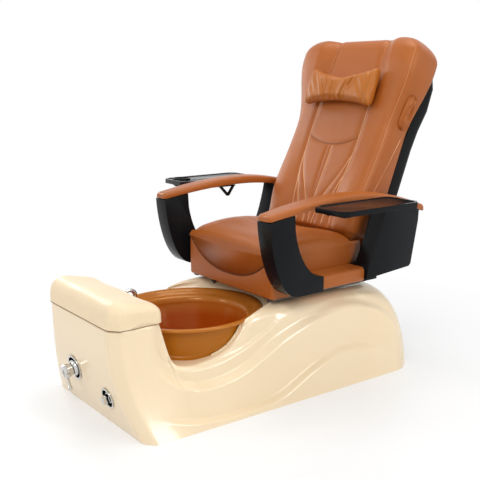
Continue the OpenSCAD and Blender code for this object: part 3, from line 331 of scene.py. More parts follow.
class Nodes:
    """A short way to write a material's nodes."""

    def __init__(self, name, colour, roughness, **sockets):
        self.material = bpy.data.materials.new(name)
        self.material.use_nodes = True
        self.tree = self.material.node_tree
        self.shader = self.tree.nodes["Principled BSDF"]
        self.set("Base Color", (*colour, 1))
        self.set("Roughness", roughness)
        for key, value in sockets.items():
            self.set(key.replace("_", " "), value)
        coords = self.tree.nodes.new("ShaderNodeTexCoord")
        self.where = coords.outputs["Object"]

    def set(self, socket, value):
        self.shader.inputs[socket].default_value = value

    def add(self, kind, **values):
        n = self.tree.nodes.new("ShaderNode" + kind)
        for key, value in values.items():
            if key in n.inputs:
                n.inputs[key].default_value = value
            else:
                setattr(n, key, value)
        return n

    def link(self, a, b):
        self.tree.links.new(a, b)

    def noise(self, scale, detail=3, roughness=0.5, distortion=0.0, where=None):
        n = self.add("TexNoise", Scale=scale, Detail=detail, Roughness=roughness, Distortion=distortion)
        self.link(where or self.where, n.inputs["Vector"])
        return n.outputs["Fac"]

    def cells(self, scale):
        n = self.add("TexVoronoi", Scale=scale, feature="DISTANCE_TO_EDGE")
        self.link(self.where, n.inputs["Vector"])
        return n.outputs["Distance"]

    def ramp(self, value, low, high, start=0.0, end=1.0):
        """A value between start and end, set between low and high."""
        n = self.add("MapRange", **{"From Min": start, "From Max": end, "To Min": low, "To Max": high})
        self.link(value, n.inputs["Value"])
        return n.outputs["Result"]

    def blend(self, value, a, b):
        n = self.add("Mix", data_type="RGBA")
        self.link(value, n.inputs["Factor"])
        for socket, colour in zip(colour_sockets(n.inputs), (a, b)):
            socket.default_value = (*colour, 1)
        return colour_sockets(n.outputs)[0]

    def multiply(self, colour, value, low, high):
        """A colour made darker or lighter by a value."""
        n = self.add("Mix", data_type="RGBA", blend_type="MULTIPLY")
        sockets = colour_sockets(n.inputs)
        n.inputs["Factor"].default_value = 1
        self.link(colour, sockets[0])
        grey = self.add("CombineColor")
        level = self.ramp(value, low, high)
        for key in ("Red", "Green", "Blue"):
            self.link(level, grey.inputs[key])
        self.link(grey.outputs["Color"], sockets[1])
        return colour_sockets(n.outputs)[0]

    def bumps(self, *heights):
        """Bump from pairs of (height, depth in metres), one on another."""
        normal = None
        for height, depth in heights:
            n = self.add("Bump", Strength=1.0, Distance=depth)
            self.link(height, n.inputs["Height"])
            if normal:
                self.link(normal, n.inputs["Normal"])
            normal = n.outputs["Normal"]
        self.link(normal, self.shader.inputs["Normal"])

    def colour(self, socket):
        self.link(socket, self.shader.inputs["Base Color"])

    def rough(self, socket):
        self.link(socket, self.shader.inputs["Roughness"])


def leather(name, colour, deep, roughness, grain=620.0, creases=0.0006):
    """Leather or vinyl: patches of a deeper colour, a pebbled grain and soft creases of a given depth."""
    n = Nodes(name, colour, roughness, Specular_IOR_Level=LEATHER_GLOSS, Specular_Tint=LEATHER_TINT)
    patches = n.ramp(n.noise(4, 3, 0.55), 0, 1, 0.3, 0.75)
    base = n.blend(patches, colour, deep)
    pebbles = n.cells(grain)
    n.colour(n.multiply(base, n.noise(70, 5, 0.6), 0.95, 1.04))
    n.rough(n.ramp(n.noise(22, 3, 0.6), roughness - 0.05, roughness + 0.07))
    soft = n.noise(11, 2, 0.5, 0.8)
    n.bumps((n.ramp(pebbles, 0, 1, 0, 0.12), 0.00012), (n.noise(1500, 2), 0.00004), (soft, creases))
    return n.material


def moulded(name, colour, deep, roughness, coat=0.0, specular=0.5):
    """Moulded plastic or gel coat: its colour drifts over a hand's width, and its gloss is slightly uneven."""
    n = Nodes(name, colour, roughness, Coat_Weight=coat, Coat_Roughness=0.1, Specular_IOR_Level=specular)
    n.colour(n.blend(n.ramp(n.noise(2.4, 2, 0.5), 0, 1, 0.3, 0.72), colour, deep))
    n.rough(n.ramp(n.noise(7, 2, 0.5), roughness - 0.03, roughness + 0.04))
    n.bumps((n.noise(5, 1, 0.4), 0.00012), (n.noise(420, 1), 0.000006))
    return n.material


def metal(name, colour, roughness):
    n = Nodes(name, colour, roughness, Metallic=1.0)
    n.colour(n.blend(n.noise(30, 3), colour, tuple(0.86 * c for c in colour)))
    n.rough(n.ramp(n.noise(120, 4, 0.7), max(0.02, roughness - 0.03), roughness + 0.07))
    n.bumps((n.noise(260, 3), 0.00004))
    return n.material


def rubber_like(name, colour, roughness):
    n = Nodes(name, colour, roughness, Specular_IOR_Level=0.35)
    n.colour(n.blend(n.noise(24, 4), colour, tuple(1.35 * c + 0.004 for c in colour)))
    n.bumps((n.noise(900, 3), 0.00008))
    return n.material


def timber(name, light, dark):
    n = Nodes(name, light, 0.55)
    stretch = n.add("Mapping")
    stretch.inputs["Scale"].default_value = (3, 40, 90)
    n.link(n.where, stretch.inputs["Vector"])
    grain = n.noise(3, 6, 0.65, 0.6, stretch.outputs["Vector"])
    n.colour(n.blend(n.ramp(grain, 0, 1, 0.3, 0.7), light, dark))
    n.bumps((grain, 0.0002))
    return n.material


def resin():
    """Amber resin of the bowl, redder and darker towards its floor."""
    n = Nodes("amber_resin", AMBER, 0.14, Specular_IOR_Level=0.38, Specular_Tint=AMBER_TINT)
    split = n.add("SeparateXYZ")
    n.link(n.where, split.inputs["Vector"])
    height = n.ramp(split.outputs["Z"], 0, 1, RIM_Z - 0.10, RIM_Z - 0.028)
    base = n.blend(height, AMBER_DEEP, AMBER)
    n.colour(n.multiply(base, n.noise(5, 2, 0.5, 0.4), 0.92, 1.07))
    n.rough(n.ramp(n.noise(30, 3), 0.12, 0.24))
    n.bumps((n.noise(14, 2), 0.0004))
    return n.material


CREAM = (0.895, 0.725, 0.495)
CREAM_DEEP = (0.875, 0.70, 0.465)
LEATHER = (0.385, 0.102, 0.015)
LEATHER_DEEP = (0.350, 0.089, 0.011)
LEATHER_GLOSS = 0.42
LEATHER_TINT = (1.0, 0.83, 0.66, 1.0)
# light colour of the seam welts: a painted highlight, the glint along each seam's ridge
WELT_HIGHLIGHT = (0.86, 0.50, 0.28)
AMBER = (0.46, 0.150, 0.020)
AMBER_DEEP = (0.37, 0.056, 0.001)
AMBER_WALL = (0.42, 0.135, 0.003)
AMBER_TINT = (1.0, 0.72, 0.40, 1.0)
BLACK = (0.0045, 0.0050, 0.0056)
BLACK_GLOSS = 0.11

shell_paint = moulded("cream_gelcoat", CREAM, CREAM_DEEP, 0.24, coat=0.35)
pad_vinyl = leather("cream_vinyl", CREAM, CREAM_DEEP, 0.34, 900, 0.0003)
cream_shadow = rubber_like("cream_shadow", (0.22, 0.13, 0.06), 0.7)
brown = leather("brown_leather", LEATHER, LEATHER_DEEP, 0.30)
pillow_brown = leather("pillow_leather", (0.41, 0.122, 0.010), (0.36, 0.100, 0.008), 0.29)
# seam welts whose light colour is a painted highlight
welt_highlight = leather("seam_welt_highlight", WELT_HIGHLIGHT, (0.80, 0.44, 0.23), 0.4)
# lighter leather for the head's seams and the bolsters' edge seams: a painted highlight line
head_seam_highlight = leather("head_seam_highlight", (0.60, 0.27, 0.12), (0.52, 0.22, 0.09), 0.4)
dark_seam = leather("dark_welt", (0.12, 0.036, 0.014), (0.10, 0.03, 0.012), 0.5)
amber = resin()
amber_wall = moulded("amber_wall", AMBER_WALL, (0.37, 0.118, 0.005), 0.25, specular=0.22)
gloss_black = moulded("gloss_black", BLACK, (0.008, 0.0095, 0.0115), 0.2, specular=BLACK_GLOSS)
satin_black = moulded("satin_black", (0.005, 0.0056, 0.0062), (0.007, 0.0076, 0.0085), 0.34, specular=BLACK_GLOSS)
chrome = metal("chrome", (0.66, 0.65, 0.63), 0.07)
tray_black = moulded("tray_black", BLACK, (0.008, 0.0095, 0.0115), 0.14)
steel = moulded("painted_steel", (0.06, 0.063, 0.068), (0.08, 0.083, 0.09), 0.42)
rubber = rubber_like("rubber", (0.02, 0.02, 0.021), 0.7)
white_plastic = moulded("white_plastic", (0.74, 0.74, 0.72), (0.68, 0.68, 0.66), 0.4)
plywood = timber("plywood", (0.58, 0.39, 0.21), (0.42, 0.26, 0.13))

SLOT_MATERIALS = {
    "cream_shell": shell_paint,
    "cream_pad": pad_vinyl,
    "amber_bowl": amber,
    "brown_leather": brown,
    "black_plastic": satin_black,
    "chrome": chrome,
    "steel": steel,
    "plywood": plywood,
    "rubber": rubber,
    "white_plastic": white_plastic,
}
for part in frame["record"]["subparts"]:
    cad = nodes[part["node"]].data
    cad.materials.clear()
    cad.materials.append(SLOT_MATERIALS[part["material_slot"]])

# ---------- base shell ----------

BOX_Z = 0.400
BOX_DEPTH = 0.168
FACE_LEAN = 0.072
FLARE_BEND = 2.2
BASE_L = 1.418
BOX_HALF = 0.266
FLOOR_HALF = 0.370
REAR_HALF = 0.396
TAIL_L = 0.340
TAIL_H = 0.420
TAIL_STRAIGHT = 0.41                # above this height the tail stands upright
FRONT_CORNER = 0.068
REAR_CORNER = 0.140

# The base's top edge in side view: the box, the cut for the bowl and the rise to the deck
side_view = through(
    [(BOX_DEPTH, BOX_Z), (0.187, 0.345), (0.199, 0.302), (0.210, 0.266), (0.224, 0.240), (0.241, 0.226),
     (0.264, 0.2205), (0.300, 0.219), (0.341, 0.222), (0.408, 0.236), (0.458, 0.258), (0.497, 0.291),
     (0.528, 0.330), (0.565, 0.357), (0.615, 0.373), (0.680, DECK_Z)], 200)


def deck_height(y):
    """Height of the base's top edge in side view."""
    return np.interp(y, side_view[:, 0], side_view[:, 1])


def flare(z):
    """0 at the top of the footrest box and 1 at the floor."""
    return max(0.0, 1 - z / BOX_Z) ** FLARE_BEND


def tail_y(z):
    return BASE_L - TAIL_L * (1 - np.sqrt(1 - (np.minimum(z, TAIL_STRAIGHT) / TAIL_H) ** 2))


# The sculpted waves on the base's sides, as (place along the base, height) of their edges
LIP_EDGE = through(
    [(0.150, 0.300), (0.178, 0.250), (0.217, 0.217), (0.262, 0.204), (0.323, 0.199), (0.401, 0.204), (0.492, 0.228),
     (0.565, 0.258), (0.640, 0.297), (0.694, 0.330), (0.760, 0.356), (1.00, 0.40)], 120)
MAIN_WAVE_TOP = through(
    [(0.10, 0.30), (0.150, 0.250), (0.193, 0.208), (0.229, 0.183), (0.290, 0.165), (0.346, 0.159), (0.425, 0.166),
     (0.508, 0.190), (0.595, 0.238), (0.681, 0.281), (0.813, 0.322), (0.962, 0.346), (1.093, 0.338), (1.206, 0.298),
     (1.32, 0.19), (1.42, 0.06)], 140)
MAIN_WAVE_LOW = through(
    [(0.10, 0.27), (0.158, 0.205), (0.219, 0.159), (0.298, 0.134), (0.374, 0.132), (0.476, 0.149), (0.583, 0.191),
     (0.695, 0.247), (0.828, 0.292), (0.966, 0.318), (1.085, 0.314), (1.198, 0.272), (1.31, 0.16), (1.42, 0.02)], 140)
LOW_WAVE_TOP = through(
    [(0.05, 0.100), (0.10, 0.080), (0.173, 0.060), (0.26, 0.041), (0.354, 0.030), (0.455, 0.028), (0.562, 0.034),
     (0.642, 0.048), (0.716, 0.078), (0.801, 0.118), (0.898, 0.151), (0.995, 0.166), (1.094, 0.157),
     (1.184, 0.130), (1.30, 0.05), (1.42, -0.03)], 140)
LOW_WAVE_BAND = 0.022
LIP_BAND = 0.020
FLARE_TAKEN = 0.70
LIP_STEP = 0.011
WAVE_STEP = 0.028
LOW_STEP = 0.026
# Where each of them rises and dies away along the base
LIP_SPAN = (0.13, 0.20, 0.62, 0.80)
WAVE_SPAN = (0.11, 0.22, 1.14, 1.33)
LOW_SPAN = (0.12, 0.24, 1.08, 1.29)
LEVEL_SPAN = (0.13, 0.30, 0.80, 1.10)


def wave_inset(y, z):
    """How far the side draws in at a point, from the skirt at the floor to the lip round the bowl."""
    top = np.interp(y, MAIN_WAVE_TOP[:, 0], MAIN_WAVE_TOP[:, 1])
    low = np.interp(y, MAIN_WAVE_LOW[:, 0], MAIN_WAVE_LOW[:, 1])
    lip = np.interp(y, LIP_EDGE[:, 0], LIP_EDGE[:, 1])
    main = np.clip((z - low) / np.maximum(top - low, 0.008), 0, 1)
    main = 0.55 * main + 0.45 * ease(main, 0, 1)
    lips = ease(z, lip, lip + LIP_BAND)
    skirt_top = np.interp(y, LOW_WAVE_TOP[:, 0], LOW_WAVE_TOP[:, 1])
    band = LOW_WAVE_BAND * (1 - 0.45 * ease(y, 0.75, 0.45))
    lower = np.clip((z - skirt_top + band) / band, 0, 1)
    lower = 0.5 * lower + 0.5 * ease(lower, 0, 1)
    steps = WAVE_STEP * main * between(y, WAVE_SPAN) + LOW_STEP * lower * between(y, LOW_SPAN)
    steps = steps + LIP_STEP * lips * between(y, LIP_SPAN)
    # The steps take the place of the box's smooth flare, which fades out towards the rear
    along = np.clip((y - FRONT_CORNER) / (BASE_L - REAR_CORNER - FRONT_CORNER), 0, 1)
    smooth = (FLOOR_HALF - BOX_HALF) * (1 - np.maximum(0, 1 - z / BOX_Z) ** FLARE_BEND) * (1 - along)
    return steps - FLARE_TAKEN * smooth * between(y, LEVEL_SPAN)


def shoulder_size(y):
    """Height and depth of the rounding between the side and the top."""
    places = [0, 0.13, 0.20, 0.28, 0.361, 0.450, 0.521, 0.600, 0.680, 1.0, 1.4]
    high = np.interp(y, places, [0.010, 0.010, 0.012, 0.013, 0.016, 0.026, 0.046, 0.056, 0.062, 0.070, 0.070])
    deep = np.interp(y, places, [0.010, 0.010, 0.012, 0.014, 0.018, 0.032, 0.050, 0.062, 0.074, 0.080, 0.080])
    return high, deep


def corner_curve():
    """Unit corner of the base in plan: a flat facet between two soft creases, from the face round to the side."""
    dense = np.linspace(0, 1, 400)
    turns = [(0.0, 0.0), (0.40, 0.0), (1.0, 0.46), (1.0, 1.0)]
    lengths = [0.0, 0.28, 0.74, 1.0]
    facet = np.stack([np.interp(dense, lengths, [p[k] for p in turns]) for k in (0, 1)], -1)
    window = 29
    padded = np.vstack([facet[:1].repeat(window // 2, 0), facet, facet[-1:].repeat(window // 2, 0)])
    soft = np.stack([np.convolve(padded[:, k], np.ones(window) / window, "valid") for k in (0, 1)], -1)
    angle = dense * math.pi / 2
    curve = 0.68 * soft + 0.32 * np.stack([np.sin(angle), 1 - np.cos(angle)], -1)
    return dense, curve


CORNER_AT, CORNER = corner_curve()


def outline(kind, t, z):
    """Plan position of a column of the base at height z. kind says which stretch of the outline t runs along."""
    front = BOX_HALF + (FLOOR_HALF - BOX_HALF) * flare(z) - FRONT_CORNER
    rear = REAR_HALF - 0.010 * z / DECK_Z - REAR_CORNER
    face = FACE_LEAN * flare(z) - FACE_OUT
    y1 = tail_y(z) - REAR_CORNER
    if kind == "face":
        return front * t, face
    if kind == "corner":
        across, along = (np.interp(t, CORNER_AT, CORNER[:, k]) for k in (0, 1))
        return front + FRONT_CORNER * across, face + FRONT_CORNER * along
    if kind == "side":
        x = front + FRONT_CORNER + (rear + REAR_CORNER - front - FRONT_CORNER) * t
        return x, face + FRONT_CORNER + (y1 - face - FRONT_CORNER) * t
    if kind == "rear corner":
        a = math.pi / 2 * t
        return rear + REAR_CORNER * math.cos(a), y1 + REAR_CORNER * math.sin(a)
    return rear * (1 - t), tail_y(z)


WELL_SKIRT = RIM_R - 0.030
WELL_RIM = RIM_R + 0.002
LEDGE_Z = RIM_Z - 0.0133
BOWL_LONG = 1.13                    # the bowl is longer towards the seat than towards the footrest


def bowl_radius(x, y):
    """Distance from the bowl's middle, measured so that its oval is round."""
    d = np.asarray(y) - BOWL_Y
    return np.hypot(x, np.where(d > 0, d / BOWL_LONG, d))


def well_radius(z):
    """Radius of the opening round the bowl at a height of the shell's surface."""
    low = WELL_SKIRT + 0.016 * np.clip((z - 0.208) / 0.124, 0, 1)
    return low + (WELL_RIM - low) * ease(z, LEDGE_Z - 0.004, LEDGE_Z + 0.004)


def top_height(x, y):
    """Height of the shell's top, which flares up behind the bowl's rim."""
    side = deck_height(y)
    r = bowl_radius(x, y)
    rise = RIM_Z - 0.001 + 0.8 * np.maximum(r - WELL_RIM, 0)
    behind = ease(y, BOWL_Y + 0.01, BOWL_Y + 0.05)
    low = np.where(side > RIM_Z - 0.02, smooth_min(side, rise, 0.016), side)
    return side + (low - side) * behind


SIDE_ROWS = 112
ROUND_ROWS = 10
TOP_ROWS = 20


def shell_column(kind, t):
    """One column of the base shell, from the floor up over the edge to the bowl's well or the middle."""

    def top(x, y):
        return BOX_Z if kind in ("face", "corner") else float(top_height(x, y))

    edge_z = BOX_Z
    if kind in ("side", "rear corner", "rear"):
        lo, hi = 0.05, BOX_Z
        for _ in range(30):
            mid = (lo + hi) / 2
            if mid < deck_height(outline(kind, t, mid)[1]):
                lo = mid
            else:
                hi = mid
        edge_z = lo
    ex, ey = outline(kind, t, edge_z)
    high, deep = shoulder_size(ey)
    if kind == "rear corner":
        high, deep = high + (0.016 - high) * t, deep + (0.05 - deep) * t
    elif kind == "rear":
        high, deep = 0.016, 0.05
    rows = []
    for f in np.linspace(0, 1, SIDE_ROWS):
        z = f * (edge_z - high)
        x, y = outline(kind, t, z)
        rows.append((x, y, z))
    ax, ay, az = rows[-1]
    # Where the top runs to: straight in from the sides, and towards the middle from the ends
    if kind == "side":
        w = well_radius(deck_height(ey))
        for _ in range(6):
            gap_x = math.sqrt(max(0.0, w * w - float(bowl_radius(0.0, ey)) ** 2))
            w = float(well_radius(top_height(gap_x, ey)))
        target = (gap_x, ey)
    elif kind in ("rear corner", "rear"):
        target = (0.0, 1.02 + 0.05 * (t if kind == "rear corner" else 1))
    elif kind == "corner":
        target = (min(ex, BOX_HALF - FRONT_CORNER), max(ey, 0.07))
    else:
        target = (ex, 0.07)
    reach = math.hypot(target[0] - ex, target[1] - ey)
    ux, uy = ((target[0] - ex) / max(reach, 1e-6), (target[1] - ey) / max(reach, 1e-6))
    deep = min(deep, reach * 0.5)
    bx, by = ex + ux * deep, ey + uy * deep
    bz = top(bx, by)
    ez = min(edge_z, bz)
    for f in np.linspace(0, 1, ROUND_ROWS + 1)[1:]:
        a, b, c = (1 - f) ** 2, 2 * f * (1 - f), f * f
        rows.append((a * ax + b * ex + c * bx, a * ay + b * ey + c * by, a * az + b * ez + c * bz))
    for f in np.linspace(0, 1, TOP_ROWS + 1)[1:]:
        x = bx + (target[0] - bx) * f
        y = by + (target[1] - by) * f
        rows.append((x, y, top(x, y)))
    x, y, z = rows[-1]
    r = math.hypot(x, y - BOWL_Y)
    inside = kind == "side" and x > 0.002
    for dr, dz in ((-0.0006, -0.002), (-0.001, -0.006), (-0.001, -0.03)):
        if inside:
            k = (r + dr) / r
            rows.append((x * k, BOWL_Y + (y - BOWL_Y) * k, z + dz))
        else:
            rows.append((x, y, z))
    return rows


def base_columns():
    columns = [("face", t) for t in np.linspace(0, 1, 61)[:-1]]
    columns += [("corner", t) for t in np.linspace(0, 1, 34)[:-1]]
    # Columns gather at the steep wall behind the footrest and at both ends of the bowl's opening
    t = np.concatenate([np.linspace(0, 0.20, 66)[:-1], np.linspace(0.20, 1, 170)[:-1]])
    columns += [("side", v) for v in t]
    columns += [("rear corner", v) for v in np.linspace(0, 1, 26)[:-1]]
    columns += [("rear", v) for v in np.linspace(0, 1, 40)]
    return columns


def make_base_shell():
    half = np.array([shell_column(kind, t) for kind, t in base_columns()])
    inset = wave_inset(half[..., 1], half[..., 2])
    # The waves draw in the sides only, and fade over the corners and the top
    x = half[..., 0]
    scale = 1 - inset * ease(x, 0.18, 0.265) / np.maximum(x, 0.05)
    rows = half.shape[1]
    keep = np.ones(rows)
    keep[SIDE_ROWS + ROUND_ROWS:] = 1 - ease(np.arange(rows - SIDE_ROWS - ROUND_ROWS), 0, TOP_ROWS - 2)
    half[..., 0] = x * (1 - (1 - scale) * keep)
    other = half[::-1].copy()
    other[..., 0] *= -1
    grid = np.vstack([half, other[1:-1]])
    shell = skin("shell", place(grid), shell_paint, loop_u=True, outward=False)
    with editing(shell.data) as bm:
        bmesh.ops.remove_doubles(bm, verts=bm.verts, dist=2e-5)
        bmesh.ops.recalc_face_normals(bm, faces=bm.faces)
        # One of the first faces, which lie in the front, shows which way the surface looks
        if bm.faces[10].normal.y > 0:
            bmesh.ops.reverse_faces(bm, faces=bm.faces)
    return shell


def open_hole(bm, inside, snap):
    """Deletes the faces whose points all lie in a hole, and moves the points left inside onto its edge."""
    doomed = [f for f in bm.faces if all(v in inside for v in f.verts)]
    gone = set(doomed)
    for v in inside:
        if any(f not in gone for f in v.link_faces):
            snap(v)
    bmesh.ops.delete(bm, geom=doomed, context="FACES")


def cut_cups(bm):
    """Round holes in the front face for the two recessed cups, below their flanges."""
    for node, joint in (("mixer_cup", "mixer_turn"), ("diverter_cup", "diverter_turn")):
        low, high = box_of(node)
        radius = (high[0] - low[0]) / 2 - 0.0025
        axis, middle = axis_of(joint)

        def outward(v):
            arm = v.co - middle
            return arm - axis * arm.dot(axis)

        def to_rim(v):
            v.co += outward(v).normalized() * (radius - outward(v).length)

        inside = {v for v in bm.verts if abs((v.co - middle).dot(axis)) < 0.05 and outward(v).length < radius}
        open_hole(bm, inside, to_rim)


SERVICE_X = (0.052, 0.192)
SERVICE_TOP = 0.130
SERVICE_REACH = 0.12                # only the rear this far from its end is opened
SHELL_THICK = 0.006


def cut_service_opening(bm):
    """The opening at the foot of the rear for the hoses and the mains lead."""
    rear = FRONT + BASE_L - SERVICE_REACH

    def to_edge(v):
        gaps = [(v.co.x - SERVICE_X[0], 0, SERVICE_X[0]), (SERVICE_X[1] - v.co.x, 0, SERVICE_X[1])]
        gaps.append((SERVICE_TOP - v.co.z, 2, SERVICE_TOP))
        _, axis, value = min(gaps)
        v.co[axis] = value

    inside = {v for v in bm.verts
              if SERVICE_X[0] < v.co.x < SERVICE_X[1] and v.co.z < SERVICE_TOP and v.co.y > rear}
    open_hole(bm, inside, to_edge)


shell = make_base_shell()
with editing(shell.data) as opened:
    cut_cups(opened)
    cut_service_opening(opened)
modify(shell, "SOLIDIFY", thickness=SHELL_THICK, offset=-1)
apply_all(shell)
for v in shell.data.vertices:
    v.co.z = max(0.0, v.co.z)
shade(shell, SHELL_EDGES)
dress(shell, "base", "cream_shell", "base_shell")


BOX_BACK_HALF = 0.128


def make_box_back():
    """The box's rear wall between the shell's two sides, which comes down on the bowl's rim under the pad."""
    y, low = BOX_DEPTH - 0.0015, RIM_Z - 0.006
    section = [(y - 0.004, low), (y, low), (y, BOX_Z - 0.006), (y - 0.0018, BOX_Z - 0.0015), (y - 0.006, BOX_Z)]
    section += [(y - 0.030, BOX_Z), (y - 0.030, BOX_Z - 0.004), (y - 0.006, BOX_Z - 0.005)]
    rows = [[(x, *p) for p in section] for x in np.linspace(-BOX_BACK_HALF, BOX_BACK_HALF, 40)]
    return closed_skin("box_back", place(rows), shell_paint)


box_back = make_box_back()
shade(box_back, SHELL_EDGES)
dress(box_back, "base", "cream_shell")

# ---------- footrest pad ----------

PAD = box_of("footrest_pad")


def rounded_outline(corners, radii, n):
    """A closed outline through straight sides whose corners are rounded by the given lengths."""
    points = []
    p = np.array(corners, dtype=float)
    for k, corner in enumerate(p):
        back = p[k - 1] - corner
        ahead = p[(k + 1) % len(p)] - corner
        a = corner + back / np.linalg.norm(back) * radii[k]
        c = corner + ahead / np.linalg.norm(ahead) * radii[k]
        t = np.linspace(0, 1, n)[:, None]
        points.append((1 - t) ** 2 * a + 2 * t * (1 - t) * corner + t * t * c)
    return np.vstack(points)


def make_footrest_pad():
    """A loaf flush with the box and its cut corners, highest over its front and falling towards the bowl."""
    w = BOX_HALF + 0.003
    y0, y1 = -FACE_OUT - 0.004, PAD[1][1] - FRONT + 0.010
    z0, z1 = BOX_Z + 0.0015, PAD[1][2]
    rear_round, end_round = 0.020, 0.058
    turn = end_round * (1 - np.cos(quarter_turn(26)[:-1]))
    x = np.concatenate([-w + turn, np.linspace(-w + end_round, w - end_round, 110), (w - turn)[::-1]])
    rows = []
    for xi in x:
        near = w - abs(xi)
        inset = FRONT_CORNER * float(np.interp(1 - near / FRONT_CORNER, CORNER[:, 0], CORNER[:, 1]))
        rear = rear_round * round_off(near, rear_round)
        drop = end_round * round_off(near, end_round)
        saddle = 0.005 * (bump(xi, w * 0.42, 0.080) + bump(xi, -w * 0.42, 0.080))
        top = z1 + 0.006 - saddle - drop
        front = y0 + inset
        back = y1 - rear
        fall = 0.037 * (1 - drop / end_round) + 0.006
        corners = [(front, z0), (front + 0.004, top + 0.003), (back - 0.002, top - fall), (back, z0)]
        soft = 0.082 - 0.040 * drop / end_round
        ring = rounded_outline(corners, [0.004, soft, 0.030 - 0.006 * drop / end_round, 0.005], 16)
        rows.append(np.column_stack([np.full(len(ring), xi), ring]))
    return closed_skin("footrest_cushion", place(rows), pad_vinyl)


pad = make_footrest_pad()
dress(pad, "base", "cream_pad", "footrest_pad")


def make_pad_join_shade():
    """The dark line where the pad meets the box: painted shade in the gap under the pad's edge."""
    z = BOX_Z + 0.001
    w, y0, y1 = BOX_HALF + 0.0015, -FACE_OUT - 0.0025, BOX_DEPTH - 0.002
    path = [(w, y, z) for y in np.linspace(y1, y0 + FRONT_CORNER, 14)[:-1]]
    path += [(w - FRONT_CORNER * (1 - across), y0 + FRONT_CORNER * along, z) for across, along in CORNER[::-12]]
    half = np.array(path)
    whole = np.vstack([half, half[::-1] * [-1, 1, 1]])
    return tube("pad_join_shade", place(whole), 0.0019, cream_shadow, sides=6)


dress(make_pad_join_shade(), "base", "cream_pad")

# ---------- bowl ----------


def bowl_wall(angle, z, radius):
    """The outer wall stands out in a band along the shell's edge, wider towards the seat."""
    y = BOWL_Y + math.sin(angle) * radius
    edge = float(deck_height(y))
    band = 0.010 + 0.034 * float(ease(y, BOWL_Y - 0.12, BOWL_Y + 0.10))
    return 0.0042 * float(1 - ease(z - edge, band, band + 0.006)) * float(ease(z, 0.205, 0.22))


def make_bowl():
    """The bowl, turned from a profile that runs from its floor up the basin, over the lip and down outside."""
    neck = RIM_R - 0.062
    basin = neck - 0.042
    floor = float(joints["impeller_spin"]["pos_m"][2]) + 0.025
    inner = [(RIM_R - 0.013, RIM_Z + 0.0006), (RIM_R - 0.022, RIM_Z - 0.0035), (neck + 0.026, RIM_Z - 0.017)]
    inner += [(neck + 0.013, RIM_Z - 0.0235), (neck + 0.005, RIM_Z - 0.031), (neck, RIM_Z - 0.043)]
    inner += [(neck - 0.003, RIM_Z - 0.06), (neck - 0.02, floor + 0.10), (basin + 0.004, floor + 0.045)]
    inner += [(basin - 0.004, floor + 0.022), (basin - 0.018, floor + 0.006), (basin - 0.05, floor + 0.0015)]
    bead = 0.0065
    lip_turn = np.linspace(-1.5, 1.9, 12)
    lip = [(RIM_R - bead + bead * math.cos(a), RIM_Z - 0.006 + bead * math.sin(a)) for a in lip_turn]
    outer = [(RIM_R - 0.020, RIM_Z - 0.0128), (RIM_R - 0.0255, RIM_Z - 0.020), (RIM_R - 0.027, RIM_Z - 0.05)]
    skirt_low = 0.200
    wall = [(RIM_R - 0.0335 + 0.006 * (z - skirt_low) / 0.1, z) for z in np.linspace(skirt_low, RIM_Z - 0.055, 40)]
    profile = [(0.0001, floor)] + through(inner[::-1], 60).tolist() + lip[::-1] + outer + wall[::-1]
    steps = 256
    p = np.array(profile)
    angles = full_turn(steps)
    grid = np.zeros((steps, len(p), 3))
    for i, a in enumerate(angles):
        r = p[:, 0].copy()
        for k in range(len(p) - len(wall) - 2, len(p)):
            r[k] += bowl_wall(a, p[k, 1], p[k, 0])
        grid[i, :, 0] = np.cos(a) * r
        grid[i, :, 1] = BOWL_Y + np.sin(a) * r * (BOWL_LONG if math.sin(a) > 0 else 1)
        grid[i, :, 2] = p[:, 1]
    bowl = skin("foot_bowl", place(grid), amber, loop_u=True, outward=False)
    bowl.data.materials.append(amber_wall)
    mesh = bowl.data
    columns = len(p) - 1
    wall_from = len(p) - len(wall) - 3
    for f in mesh.polygons:
        f.material_index = 1 if f.index % columns >= wall_from else 0
    with editing(mesh) as bm:
        bmesh.ops.recalc_face_normals(bm, faces=bm.faces)
        probe = max(bm.faces, key=lambda f: f.calc_center_median().z)
        if probe.normal.z < 0:
            bmesh.ops.reverse_faces(bm, faces=bm.faces)
    return bowl


bowl = make_bowl()
dress(bowl, "base", "amber_bowl", "bowl")

# ---------- spout ----------

SPOUT_DROP = 0.84                   # height of the spout over the rim, as a share of its solid's


def make_spout():
    o = copy_of("spout", "filling_spout", chrome)
    for v in o.data.vertices:
        if v.co.z > RIM_Z:
            v.co.z = RIM_Z + (v.co.z - RIM_Z) * SPOUT_DROP
    shade(o, FINE_EDGES)
    return o


dress(make_spout(), "base", "chrome", "spout")

# ---------- seat ----------

SKIRT_TOP = float(SEAT_HIGH[2])
SEAT_LENGTH = float(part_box("seat_cushion")[1][1]) - FRONT - SEAT_FRONT
SEAT_Z = float(SEAT_LOW[2])
PAN_TOP = float(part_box("seat_pan")[1][2])
CUSHION_TOP = float(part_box("seat_cushion")[1][2])
SEAM_LOW = 0.055
SEAM_RISE = 0.125
CROWN_AT = 0.200                    # the seat is highest this far from its front


def seam_height(x):
    """Height of the curved seam across the seat's front."""
    return SEAT_Z + SEAM_LOW + SEAM_RISE * (np.abs(x) / SEAT_HALF) ** 2.5


def seat_crown(x, d):
    """Height of the seat's top at a place across it and a distance from its front."""
    front_fall = 0.030 * (np.maximum(0, CROWN_AT - d) / CROWN_AT) ** 2
    rear_fall = 0.046 * (np.maximum(0, d - CROWN_AT) / (SEAT_LENGTH - CROWN_AT)) ** 2
    dish = 0.012 * np.maximum(0, 1 - (x / SEAT_HALF / 0.8) ** 2) ** 2 * ease(d, 0.02, 0.14)
    fold = 0.0022 * bump(d, 0.21 + 0.10 * np.abs(x), 0.012) * bump(x, -0.10, 0.12)
    fold += 0.0018 * bump(d, 0.17 - 0.12 * x, 0.010) * bump(x, 0.06, 0.10)
    return CUSHION_TOP - front_fall - rear_fall - dish - fold


